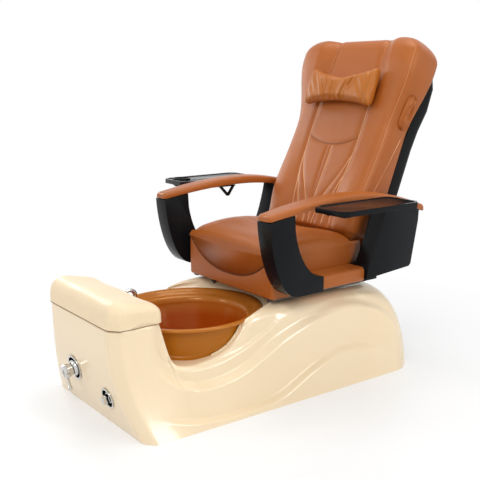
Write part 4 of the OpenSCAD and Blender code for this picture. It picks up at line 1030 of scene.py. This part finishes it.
def make_seat_cushion():
    """The seat cushion, whose front bib hangs down to the curved seam."""
    rows = []
    front_r, rear_r = 0.052, 0.044
    front_inset = 0.034
    underside = PAN_TOP + 0.0006

    def foot(x, bib):
        return underside + (float(seam_height(x)) - PAN_TOP - 0.0006) * bib

    d_values = np.concatenate(
        [front_r * (1 - np.cos(quarter_turn(18)[:-1])), np.linspace(front_r, SEAT_LENGTH - rear_r, 60)[:-1],
         SEAT_LENGTH - rear_r + rear_r * np.sin(quarter_turn(12))]
    )
    count = 96
    for d in d_values:
        inset = front_inset * round_off(d, front_r)
        rear = max(0.0, d - (SEAT_LENGTH - rear_r)) / rear_r
        inset_rear = rear_r * (1 - math.sqrt(max(0.0, 1 - rear * rear)))
        half = SEAT_HALF - 0.0005 - 0.35 * inset - 0.25 * inset_rear
        bib = float(1 - ease(d, 0.010, 0.0145))
        ring = []
        for k in range(count + 1):
            a = math.pi * k / count
            c, s = math.cos(a), math.sin(a)
            x = half * squarish(c, 0.34)
            low = foot(x, bib)
            top = float(seat_crown(x, d)) - inset - inset_rear
            z = low + (top - low) * s**0.36
            pull = 0.006 * float(bump(z - low, 0.016, 0.014)) * (1 - bib)
            ring.append((x - math.copysign(pull, x), SEAT_FRONT + d, z))
        for k in range(1, 24):
            x = -half + 2 * half * k / 24
            ring.append((x, SEAT_FRONT + d, foot(x, bib)))
        rows.append(ring)
    return closed_skin("seat_cushion_cover", place(rows), brown)


def make_seat_skirt():
    """Upholstered box front and sides, with soft corners and a slight bow to each face."""
    y_rear = SEAT_HIGH[1] - FRONT
    corner = 0.017
    path = [(SEAT_HALF, y_rear), (SEAT_HALF, SEAT_FRONT + 0.40)]
    path += [(SEAT_HALF, SEAT_FRONT + v) for v in np.linspace(0.36, corner + 0.01, 22)]
    path += [
        (SEAT_HALF - corner + corner * math.cos(a), SEAT_FRONT + corner - corner * math.sin(a))
        for a in quarter_turn(9)
    ]
    path += [(v, SEAT_FRONT) for v in np.linspace(SEAT_HALF - corner - 0.01, 0, 30)]
    half = np.array(path)
    whole = np.vstack([half, half[-2::-1] * [-1, 1]])
    rows = []
    count = 26
    for x, y in whole:
        front = float(ease(y, SEAT_FRONT + 0.030, SEAT_FRONT + 0.014))
        top = SKIRT_TOP + (float(seam_height(x)) - 0.0012 - SKIRT_TOP) * front
        column = []
        out = np.array([x, 0.0]) / max(abs(x), 1e-6) if front < 0.5 else np.array([0.0, -1.0])
        for k in range(count):
            f = k / (count - 1)
            z = SEAT_Z + (top - SEAT_Z) * f
            edge = max(0.0, abs(f - 0.5) * 2 - 0.93) / 0.07
            roll = 0.0035 * edge * edge
            bow = 0.0015 * math.sin(math.pi * f)
            column.append((x + out[0] * (bow - roll - 0.0015), y + out[1] * (bow - roll - 0.0015), z))
        rows.append(column)
    outer = np.array(rows)
    inner = outer[:, ::-1].copy()
    shrink = 0.012
    inner[..., 0] -= np.sign(inner[..., 0]) * shrink * np.minimum(1, np.abs(inner[..., 0]) / 0.05)
    inner[..., 1] += shrink
    grid = np.concatenate([outer, inner], axis=1)
    return closed_skin("seat_skirt_cover", place(grid), brown)


seat_cover = make_seat_cushion()
dress(seat_cover, "seat", "brown_leather", "seat_cushion")
skirt = make_seat_skirt()
dress(skirt, "seat", "brown_leather", "seat_skirt")


def make_front_seam():
    x = np.linspace(-SEAT_HALF + 0.002, SEAT_HALF - 0.002, 80)
    pts = np.stack([x, np.full_like(x, SEAT_FRONT - 0.0002), seam_height(x) - 0.0006], -1)
    return tube("front_seam", place(pts), 0.0017, dark_seam, sides=8)


dress(make_front_seam(), "seat", "brown_leather")

# ---------- backrest ----------

BACK_FACE = -0.107
BACK_LONG = 0.950
HEAD_SEAM_X = 0.150
HEAD_NOTCH = 0.008
FRAME_TOP = BACK_LONG - 0.080
WAIST = 0.574
SHOULDERS = 0.690
CUSHION_LOW = 0.080
SHELL_FRONT = 0.042
HEAD_ROUND = 0.062                  # height of the rounding at the head's top, and how far it draws in
HEAD_INSET = 0.058
BOLSTER_FROM = 0.165                # where the face starts to turn round the bolster, and how far it drops there
BOLSTER_DROP = 0.046
RECESS_HALF = 0.262                 # the hollow in the cushion's rear that holds the frame
RECESS_Y = -0.0253

# Seams on the backrest's face, as (across, up) points on its left half
SIDE_SEAM = [(0.150, 0.952), (0.146, 0.86), (0.152, 0.79), (0.153, 0.62), (0.154, 0.50), (0.150, 0.41),
             (0.144, 0.33), (0.133, 0.25), (0.128, 0.16), (0.126, 0.07)]
FORK_SEAM = [(0.150, 0.41), (0.118, 0.325), (0.078, 0.255), (0.048, 0.195), (0.032, 0.13), (0.026, 0.07)]
SHORT_SEAM = [(0.143, 0.32), (0.112, 0.235), (0.090, 0.17), (0.080, 0.07)]
CENTRE_SEAM = [(0.013, 0.447), (0.013, 0.34), (0.008, 0.237), (0.0, 0.16), (0.0, 0.07)]
CROSS_SEAM = [(-0.150, 0.492), (-0.105, 0.470), (-0.050, 0.457), (0.0, 0.453), (0.050, 0.457), (0.105, 0.470),
              (0.150, 0.492)]
SIDES = (("left", 1), ("right", -1))
seams = {}
for kind, points, count in (("side", SIDE_SEAM, 60), ("fork", FORK_SEAM, 40), ("short", SHORT_SEAM, 30)):
    for word, side in SIDES:
        seams[f"{kind}_{word}"] = through([(side * x, z) for x, z in points], count)
seams["centre"] = through(CENTRE_SEAM, 40)
cross_line = through(CROSS_SEAM, 40)


def back_half(z):
    """Half the backrest's width at a height."""
    return WAIST / 2 + (SHOULDERS - WAIST) / 2 * ease(z, 0.540, 0.840) - 0.016 * (1 - ease(z, 0.090, 0.260))


def back_front(x, z):
    """How far the cushion's face lies out of the backrest's rear, at a place on it. Grooves draw it in."""
    seam = np.interp(z, seams["side_left"][::-1, 1], seams["side_left"][::-1, 0])
    side = ease(np.abs(x), seam + 0.008, seam + 0.080)
    bolster = 0.024 * bump(z, 0.200, 0.170) + 0.030 * bump(z, 0.860, 0.150) - 0.006 * bump(z, 0.560, 0.120)
    lumbar = 0.010 * bump(z, 0.260, 0.160)
    y = BACK_FACE - side * bolster - (1 - side) * lumbar
    groove = np.zeros_like(y)
    for name, line in seams.items():
        deep, wide = (0.009, 0.011) if name.startswith("side") else (0.0065, 0.009)
        d = distance_to(x, z, line[::3])
        groove = np.maximum(groove, deep * np.exp(-((d / wide) ** 1.4)))
    cross = 0.0045 * np.exp(-((distance_to(x, z, cross_line[::3]) / 0.010) ** 1.5))
    pleats = 0.0055 * (0.5 + 0.5 * np.cos(x / 0.021 * math.pi)) * (1 - ease(z, 0.12, 0.23)) * (1 - side)
    return y + np.maximum(groove, cross) + pleats


def make_back_cushion():
    """The back cushion: face with seams, rounded bolsters and sides that wrap the frame to the shell's edge."""
    rows = []
    low_ends = [(CUSHION_LOW + 0.026 * (1 - math.cos(a)), 0.014 * (1 - math.sin(a))) for a in np.linspace(0, 1.5, 9)]
    high_ends = [
        (BACK_LONG - HEAD_ROUND + HEAD_ROUND * math.sin(a), HEAD_INSET * (1 - math.cos(a))) for a in quarter_turn(16)
    ]
    tucked = [(0.044, 0.030, 0.066), (0.050, 0.026, 0.048), (0.058, 0.020, 0.028), (0.068, 0.016, 0.010)]
    heights = tucked + [(z, e) for z, e in low_ends]
    heights += [(z, 0.0) for z in np.linspace(0.108, FRAME_TOP - 0.001, 200)]
    heights += [(z, 0.0) for z in np.linspace(FRAME_TOP + 0.001, BACK_LONG - 0.064, 5)]
    heights += high_ends
    face = np.linspace(0, 1, 44)
    turn = quarter_turn(34)[1:]
    for z, e, *more in heights:
        tuck = more[0] if more else 0.0
        w = float(back_half(z)) - e
        # The corners of the head round off in front view
        head = float(ease(z, BACK_LONG - 0.10, BACK_LONG))
        w -= 0.020 * head * head
        lobe = SHELL_FRONT - 0.001
        if z > FRAME_TOP:
            lobe = 0.028 - 1.1 * e + 0.013 * float(1 - ease(z, FRAME_TOP, FRAME_TOP + 0.045))
        inner = RECESS_HALF if z < FRAME_TOP else w - 0.034
        rear = RECESS_Y if z < FRAME_TOP else lobe
        xs = BOLSTER_FROM * face
        ys = back_front(xs, np.full_like(xs, z)) + 0.6 * e + tuck
        xt = BOLSTER_FROM + (w - BOLSTER_FROM) * np.sin(turn)
        yt = back_front(xt, np.full_like(xt, z)) + 0.6 * e
        yt = yt + BOLSTER_DROP * (1 - np.cos(turn)) ** 2 + tuck * np.cos(turn)
        ring = [(x, y, z) for x, y in zip(xs, ys)] + [(x, y, z) for x, y in zip(xt, yt)]
        y_side = yt[-1]
        for f in np.linspace(0, 1, 12)[1:]:
            y = y_side + (lobe - 0.012 - y_side) * f
            ring.append((w - 0.003 * f * f + 0.002 * math.sin(math.pi * f), y, z))
        ring += [(w - 0.006, lobe - 0.004, z), (w - 0.014, lobe, z), (inner + 0.006, lobe, z), (inner, lobe - 0.006, z)]
        ring += [(inner - 0.001, rear, z), (0.10, rear, z), (0.0, rear, z)]
        left = [(-x, y, zz) for x, y, zz in ring[-2:0:-1]]
        rows.append(ring + left)
    grid = np.array(rows)
    # The head's seams pull its top edge down, and its last ring closes to a line
    notch = HEAD_NOTCH * bump(np.abs(grid[..., 0]), HEAD_SEAM_X, 0.012)
    grid[..., 2] -= notch * ease(grid[..., 2], BACK_LONG - 0.05, BACK_LONG)
    last = grid[-1:].copy()
    last[..., 1] = last[..., 1].mean()
    grid = np.concatenate([grid, last])
    return closed_skin("back_cushion_cover", lean(grid), brown)


back_cover = make_back_cushion()
dress(back_cover, "back", "brown_leather", "back_cushion")


SEAM_R = 0.0019
HEAD_SEAM_R = 0.0013
EDGE_TURN = 1.22                    # where the seam between face and side lies round the bolster
HEAD_FROM = 0.730                   # above it the side seams are thin, and their painted highlight is dimmer
PANEL_SEAM = [(0.008, 0.530), (-0.021, 0.408), (-0.053, 0.288), (-0.068, 0.200)]


def back_welt(name, line, radius, material, z_low=0.085, z_high=0.925):
    """A welt along a seam of the backrest's face, between two heights."""
    line = line[(line[:, 1] > z_low) & (line[:, 1] < z_high)]
    y = back_front(line[:, 0], line[:, 1])
    # The head's rounded top carries its seams over
    top = np.clip((line[:, 1] - (BACK_LONG - HEAD_ROUND)) / HEAD_ROUND, 0, 1)
    y = y + 0.6 * HEAD_INSET * (1 - np.sqrt(1 - top * top))
    pts = np.stack([line[:, 0], y - radius * 0.35, line[:, 1]], -1)
    dress(tube(name, lean(pts), radius, material), "back", "brown_leather")


# Welts along the seams, lighter than the leather: their colour is a painted highlight on each seam
for name, line in seams.items():
    back_welt("seam_" + name, line, SEAM_R, welt_highlight, z_high=HEAD_FROM)
    # Above HEAD_FROM the side seams show a thinner, dimmer painted highlight
    if name.startswith("side"):
        back_welt("head_" + name, line, HEAD_SEAM_R, head_seam_highlight, z_low=HEAD_FROM)
back_welt("seam_cross", cross_line, 0.0013, dark_seam)
# A seam round each bolster's edge, drawn as a light line: a painted highlight along the ridge
for word, side in SIDES:
    z = np.linspace(0.17, 0.885, 90)
    over = BOLSTER_FROM + (back_half(z) - BOLSTER_FROM) * math.sin(EDGE_TURN)
    out = back_front(over, z) + BOLSTER_DROP * (1 - math.cos(EDGE_TURN)) ** 2
    o = tube("edge_seam_highlight_" + word, lean(np.column_stack([side * over, out, z])), 0.0013, head_seam_highlight)
    dress(o, "back", "brown_leather")
# The side panel's seams carry the same painted highlight
for word, side in SIDES:
    line = through(PANEL_SEAM, 30)
    across = side * (back_half(line[:, 1]) + 0.0002)
    o = tube("panel_seam_" + word, lean(np.column_stack([across, line])), 0.0014, welt_highlight)
    dress(o, "back", "brown_leather")

# ---------- head pillow ----------

PILLOW = box_of("head_pillow")
PILLOW_W = float(PILLOW[1][0] - PILLOW[0][0])
PILLOW_Z = 0.700
PILLOW_T = 0.066
PILLOW_ROUND = 0.022
PILLOW_GAP = 0.0053


def simulate(o, voxel, pressure, cap, frames=20):
    """Swells a closed mesh as a stuffed cover, and caps how far each point may go."""
    modify(o, "REMESH", mode="VOXEL", voxel_size=voxel)
    apply_all(o)
    start = points_of(o.data)
    cloth = o.modifiers.new("cloth", "CLOTH")
    cloth.settings.use_pressure = True
    cloth.settings.uniform_pressure_force = pressure
    cloth.settings.effector_weights.gravity = 0
    cloth.settings.quality = 5
    cloth.point_cache.frame_end = frames
    for f in range(1, frames + 1):
        bpy.context.scene.frame_set(f)
    apply_all(o)
    bpy.context.scene.frame_set(1)
    step = points_of(o.data) - start
    size = np.linalg.norm(step, axis=1)[:, None]
    step *= np.minimum(1, cap / np.maximum(size, 1e-9))
    set_points(o.data, start + step)
    return o


def make_pillow():
    """A butterfly: full ends whose top corners stand up, and a waist between them."""
    rows = []
    for x in np.linspace(-1, 1, 61):
        xe = PILLOW_W / 2 * math.copysign(1 - (1 - abs(x)) ** 1.25, x)
        end = max(0.0, abs(xe) - (PILLOW_W / 2 - PILLOW_ROUND)) / PILLOW_ROUND
        inset = PILLOW_ROUND * (1 - math.sqrt(max(0.0, 1 - end * end)))
        out = abs(xe) / (PILLOW_W / 2)
        top = 0.054 + 0.038 * out**1.5 - inset * 0.5
        foot = 0.064 + 0.020 * out**1.8 - inset * 0.5
        half, middle = (top + foot) / 2, (top - foot) / 2
        thick = (PILLOW_T - 0.006 - inset * 1.3) * (0.86 + 0.14 * float(bump(out, 0.62, 0.32)))
        ring = []
        for a in full_turn(56):
            y = BACK_FACE - PILLOW_GAP - PILLOW_T / 2 + thick / 2 * squarish(math.sin(a), 0.8)
            ring.append((xe, y, PILLOW_Z + middle + half * squarish(math.cos(a), 0.55)))
        rows.append(ring)
    return closed_skin("head_pillow_cover", rows, pillow_brown)


# Pleats of the pillow's face, as (across, up) points that fan out from its foot to its top
PILLOW_PLEATS = [
    [(-0.128, 0.066), (-0.104, 0.030), (-0.082, -0.010), (-0.066, -0.050)],
    [(-0.088, 0.056), (-0.074, 0.020), (-0.062, -0.020), (-0.056, -0.056)],
    [(-0.030, 0.046), (-0.027, 0.010), (-0.024, -0.025), (-0.022, -0.050)],
    [(0.066, 0.054), (0.056, 0.020), (0.044, -0.015), (0.034, -0.052)],
    [(0.104, 0.060), (0.088, 0.030), (0.074, 0.000)],
]
PILLOW_ENDS = [[(s * 0.170, 0.080), (s * 0.176, 0.03), (s * 0.177, -0.03), (s * 0.170, -0.074)] for s in (-1, 1)]


def crease_pillow(o):
    """Presses pleats into the pillow's face, then leans it against the backrest."""
    p = points_of(o.data)
    x, z = p[:, 0], p[:, 2] - PILLOW_Z
    front = ease(p[:, 1], BACK_FACE - PILLOW_T * 0.45, BACK_FACE - PILLOW_T * 0.70)
    inward = np.zeros(len(p))
    for line in PILLOW_PLEATS:
        d = distance_to(x, z, through(line, 16))
        inward += 0.0080 * np.exp(-((d / 0.0055) ** 1.3)) - 0.0034 * np.exp(-(((d - 0.013) / 0.008) ** 2))
    for line in PILLOW_ENDS:
        d = distance_to(x, z, through(line, 16))
        inward += 0.0034 * np.exp(-((d / 0.005) ** 1.5))
    small = 0.0014 * np.sin(x * 150 + z * 110) * bump(np.abs(x), 0.150, 0.030)
    p[:, 1] += (inward + small) * front
    set_points(o.data, lean(p))


pillow = simulate(make_pillow(), voxel=0.005, pressure=3.0, cap=0.006)
modify(pillow, "SMOOTH", factor=0.5, iterations=4)
apply_all(pillow)
modify(pillow, "SUBSURF", levels=1)
apply_all(pillow)
crease_pillow(pillow)
shade(pillow, 180)
dress(pillow, "pillow", "brown_leather", "head_pillow")

# ---------- remote pouch ----------

POUCH_Z = 0.640
POUCH_MID = -0.018
POUCH_HALF = 0.036
POUCH_LONG = 0.074
POUCH_THICK = 0.0185


def make_pouch():
    """A leather pocket on the side of the backrest, gathered at its mouth and its foot over the remote inside."""
    rows = []
    for s in np.linspace(-1, 1, 72):
        z = POUCH_Z + POUCH_LONG * s
        shift = -0.012 * s
        half = POUCH_HALF * (1 - abs(s) ** 6) ** 0.5 * (0.90 - 0.10 * s) + 0.0005
        thick = 0.015 * (1 - abs(s) ** 4) ** 0.5 + 0.0004
        ring = []
        for a in np.linspace(0, math.pi, 64):
            c, sn = math.cos(a), math.sin(a)
            ends = float(ease(abs(s), 0.45, 0.9))
            gather = 0.0026 * math.sin(13 * a + 1.4 * s) * ends
            # The remote's edge shows as a ridge round a sunk middle, with folds that run along the pocket
            ridge = 0.0066 * float(bump(math.hypot(c, s * 1.05), 0.62, 0.15))
            folds = 0.0042 * float(bump(c + 0.35 * s, 0.05, 0.10)) - 0.0050 * float(bump(c - 0.25 * s, -0.30, 0.11))
            level = thick * sn**0.5 * 0.66 + (gather + ridge + folds) * min(1, thick / 0.010) * sn**0.5
            out = float(back_half(z)) + 0.0008 + max(0.0, min(POUCH_THICK, level))
            ring.append((out, POUCH_MID + shift - half * squarish(c, 0.8), z))
        rows.append(ring)
    return closed_skin("remote_pocket", lean(rows), brown)


pouch = make_pouch()
dress(pouch, "back", "brown_leather", "remote_pouch")

# ---------- arms ----------

ARM_BOX = box_of("arm_pad_left")
ARM_FRONT = float(ARM_BOX[0][1]) - FRONT
ARM_REAR = float(ARM_BOX[1][1]) - FRONT
ARM_IN, ARM_OUT = float(ARM_BOX[0][0]), float(ARM_BOX[1][0])
ARM_PEAK = SEAT_FRONT + 0.318
ARM_RISE = 0.367
ARM_THICK = 0.036


def arm_under(y):
    """Height of an arm pad's flat underside."""
    front = 0.037 * ((ARM_PEAK - y) / (ARM_PEAK - ARM_FRONT)) ** 2
    rear = 0.080 * ((y - ARM_PEAK) / (ARM_REAR - ARM_PEAK)) ** 2
    return SEAT_Z + ARM_RISE - np.where(y < ARM_PEAK, front, rear)


def make_arm_pad(name, side):
    """An arm pad, thicker in its middle than at its front and narrower at both ends."""
    rows = []
    end = 0.014
    y_values = np.concatenate(
        [ARM_FRONT + end * (1 - np.cos(quarter_turn(8)[:-1])), np.linspace(ARM_FRONT + end, ARM_REAR - end, 90),
         ARM_REAR - end * (1 - np.cos(np.linspace(math.pi / 2, 0, 8)[1:]))]
    )
    for y in y_values:
        near = min(y - ARM_FRONT, ARM_REAR - y)
        inset = end * round_off(near, end)
        t = ARM_THICK - 0.009 * (1 - float(ease(y, ARM_FRONT, ARM_PEAK)))
        t = t - 0.006 * float(ease(y, ARM_PEAK, ARM_REAR)) - inset
        narrow = 0.008 * float(ease(y, ARM_FRONT + 0.16, ARM_FRONT))
        narrow = narrow + 0.010 * float(ease(y, ARM_REAR - 0.22, ARM_REAR))
        half = (ARM_OUT - ARM_IN) / 2 - 0.001 - narrow - inset * 0.7
        mid = (ARM_OUT + ARM_IN) / 2
        z0 = float(arm_under(y)) + inset * 0.35
        ring = []
        for a in full_turn(52):
            c, s = math.cos(a), math.sin(a)
            x = mid + half * squarish(c, 0.42)
            z = z0 + t * (0.34 + 0.66 * s**0.62) if s > 0 else z0 + t * 0.34 * (1 - abs(s) ** 0.28)
            ring.append((side * x, y, z))
        rows.append(ring)
    return closed_skin(name, place(rows), brown)


for word, side in SIDES:
    arm = make_arm_pad(f"arm_cushion_{word}", side)
    dress(arm, "seat", "brown_leather", f"arm_pad_{word}")
    bevelled(f"arm_post_{word}", f"post_{word}", gloss_black, "seat", "black_plastic", 0.009, 4)
    bevelled(f"arm_panel_{word}", f"panel_{word}", gloss_black, "seat", "black_plastic", 0.006, 4)
    bevelled(f"arm_rail_{word}", f"rail_cover_{word}", brown, "seat", "brown_leather", 0.004, 3)
    bevelled(f"tray_bracket_{word}", f"bracket_{word}", satin_black, "seat", "black_plastic", 0.0008, 2)

bevelled("tray_left", "tray_near", gloss_black, "tray_left", "black_plastic", 0.003, 3)
bevelled("tray_right", "tray_far", tray_black, "tray_right", "black_plastic", 0.003, 3)
bevelled("back_shell", "rear_shell", satin_black, "back", "black_plastic", 0.002, 2, 60)

# ---------- cups in the front face ----------


def ringed_cup(node, joint):
    """A dark recessed cup whose flange is a polished ring."""
    o = bevelled(node, node + "_lined", satin_black, "base", "black_plastic", 0.0006, 2)
    o.data.materials.append(chrome)
    axis, middle = axis_of(joint)
    face = max((v.co - middle).dot(axis) for v in o.data.vertices)
    for f in o.data.polygons:
        if (f.center - middle).dot(axis) > face - 0.0032:
            f.material_index = 1


ringed_cup("mixer_cup", "mixer_turn")
ringed_cup("diverter_cup", "diverter_turn")


def make_flange(name, joint, profile):
    """A polished ring round a tap's stem, turned from (radius, place along the tap's axis) points."""
    axis, middle = np.array(joints[joint]["axis"]), np.array(joints[joint]["pos_m"])
    side = np.array([1.0, 0.0, 0.0])
    up = np.cross(axis, side)
    ring = []
    for a in full_turn(72):
        out = math.cos(a) * side + math.sin(a) * up
        ring.append([middle + axis * d + out * r for r, d in profile])
    dress(skin(name, np.array(ring), chrome, loop_v=True, loop_u=True), "base", "chrome")


make_flange("mixer_flange", "mixer_turn", [(0.0225, -0.030), (0.0225, -0.012), (0.026, -0.010), (0.0285, -0.0115),
                                           (0.0310, -0.017), (0.0325, -0.024), (0.0325, -0.030)])
make_flange("diverter_flange", "diverter_turn", [(0.0242, -0.027), (0.0242, -0.0135), (0.027, -0.0130),
                                                 (0.0300, -0.016), (0.0318, -0.021), (0.0318, -0.027)])


CAP_GROWN = 1.15                    # size across the tap's axis, against the solid's
LEVER_GROWN = 1.22


def grown(node, name, joint, across):
    """A tap's moving piece, drawn a little stouter than its solid about the tap's axis."""
    o = copy_of(node, name, chrome)
    axis, middle = axis_of(joint)
    for v in o.data.vertices:
        d = (v.co - middle).dot(axis)
        out = v.co - middle - axis * d
        v.co = middle + axis * d + out * across
    round_edges(o, 0.0012)
    return o


dress(grown("mixer_cap", "mixer_handle_cap", "mixer_turn", CAP_GROWN), "mixer_cap", "chrome", "mixer_cap")
dress(grown("mixer_lever", "mixer_handle", "mixer_lift", LEVER_GROWN), "mixer_lever", "chrome", "mixer_lever")

# ---------- floor, light, camera ----------

FADE_FROM, FADE_TO = 0.75, 2.0      # distances from the chair's middle over which the floor turns plain white
NEAR_WHITE = 0.42                   # share of plain white in the floor right below the chair
FLOOR_REACH = 14.0


def seen_directly(tree):
    """1 for rays from the camera and for those that metal or glass shows, and 0 for light itself."""
    path = tree.nodes.new("ShaderNodeLightPath")
    value = path.outputs["Is Camera Ray"]
    for key in ("Is Glossy Ray", "Is Transmission Ray"):
        largest = tree.nodes.new("ShaderNodeMath")
        largest.operation = "MAXIMUM"
        tree.links.new(value, largest.inputs[0])
        tree.links.new(path.outputs[key], largest.inputs[1])
        value = largest.outputs[0]
    return value


def make_floor():
    """A pale floor with a faint sheen, which keeps the chair's shadow and turns plain white further out."""
    n = Nodes("floor", (0.90, 0.90, 0.90), 0.22, Specular_IOR_Level=0.4)
    n.colour(n.blend(n.noise(2.0, 3), (0.905, 0.905, 0.905), (0.895, 0.895, 0.895)))
    distance = n.add("VectorMath", operation="LENGTH")
    n.link(n.where, distance.inputs[0])
    fade = n.ramp(distance.outputs["Value"], NEAR_WHITE, 1.0, FADE_FROM, FADE_TO)
    share = n.add("Math", operation="MULTIPLY")
    n.link(fade, share.inputs[0])
    n.link(seen_directly(n.tree), share.inputs[1])
    white = n.add("Emission")
    mixed = n.add("MixShader")
    n.link(share.outputs[0], mixed.inputs[0])
    n.link(n.shader.outputs[0], mixed.inputs[1])
    n.link(white.outputs[0], mixed.inputs[2])
    n.link(mixed.outputs[0], n.tree.nodes["Material Output"].inputs["Surface"])
    points = [(x * FLOOR_REACH, y * FLOOR_REACH, 0) for x, y in ((-1, -1), (1, -1), (1, 1), (-1, 1))]
    floor = mesh_from("floor", points, [(0, 1, 2, 3)], n.material, smooth=False)


def add_light(name, place_at, target, size, power):
    """An area lamp at a place, turned to its target. Its power is in watts."""
    data = bpy.data.lights.new(name, "AREA")
    data.shape = "RECTANGLE"
    data.size, data.size_y = size
    data.energy = power
    o = add_object(name, data)
    o.location = place_at
    o.rotation_euler = (Vector(target) - Vector(place_at)).to_track_quat("-Z", "Y").to_euler()


WORLD_LIGHT = 0.48


def make_world():
    world = bpy.data.worlds.new("studio")
    bpy.context.scene.world = world
    world.use_nodes = True
    tree = world.node_tree
    background = tree.nodes["Background"]
    level = tree.nodes.new("ShaderNodeMapRange")
    tree.links.new(seen_directly(tree), level.inputs["Value"])
    level.inputs["To Min"].default_value = WORLD_LIGHT
    level.inputs["To Max"].default_value = 1.0
    tree.links.new(level.outputs["Result"], background.inputs["Strength"])
    background.inputs["Color"].default_value = (1, 1, 1, 1)


CAMERA_AT = (2.505, -1.190, 1.244)
CAMERA_TURN = 52.6
CAMERA_DIP = 11.8
CAMERA_LENS = 57.98


def make_camera():
    data = bpy.data.cameras.new("camera")
    data.lens = CAMERA_LENS
    data.sensor_width = 36
    camera = add_object("camera", data)
    camera.location = place(CAMERA_AT)
    camera.rotation_euler = (math.radians(90 - CAMERA_DIP), 0, math.radians(CAMERA_TURN))
    bpy.context.scene.camera = camera


make_floor()
make_world()
add_light("key", (2.2, -2.6, 3.2), (0, -0.1, 0.5), (1.2, 0.9), 46)
add_light("front", (-1.0, -3.0, 2.3), (0, 0, 0.8), (0.4, 1.0), 20)
add_light("left", (-3.0, -0.2, 1.5), (0, 0.3, 0.9), (0.4, 1.7), 26)
add_light("top", (0.2, 0.4, 3.6), (0, 0, 0.4), (1.6, 1.6), 40)
add_light("right", (3.4, 0.9, 1.9), (0.2, 0.2, 0.5), (0.7, 1.4), 36)
make_camera()
bpy.context.scene.view_settings.view_transform = "Standard"
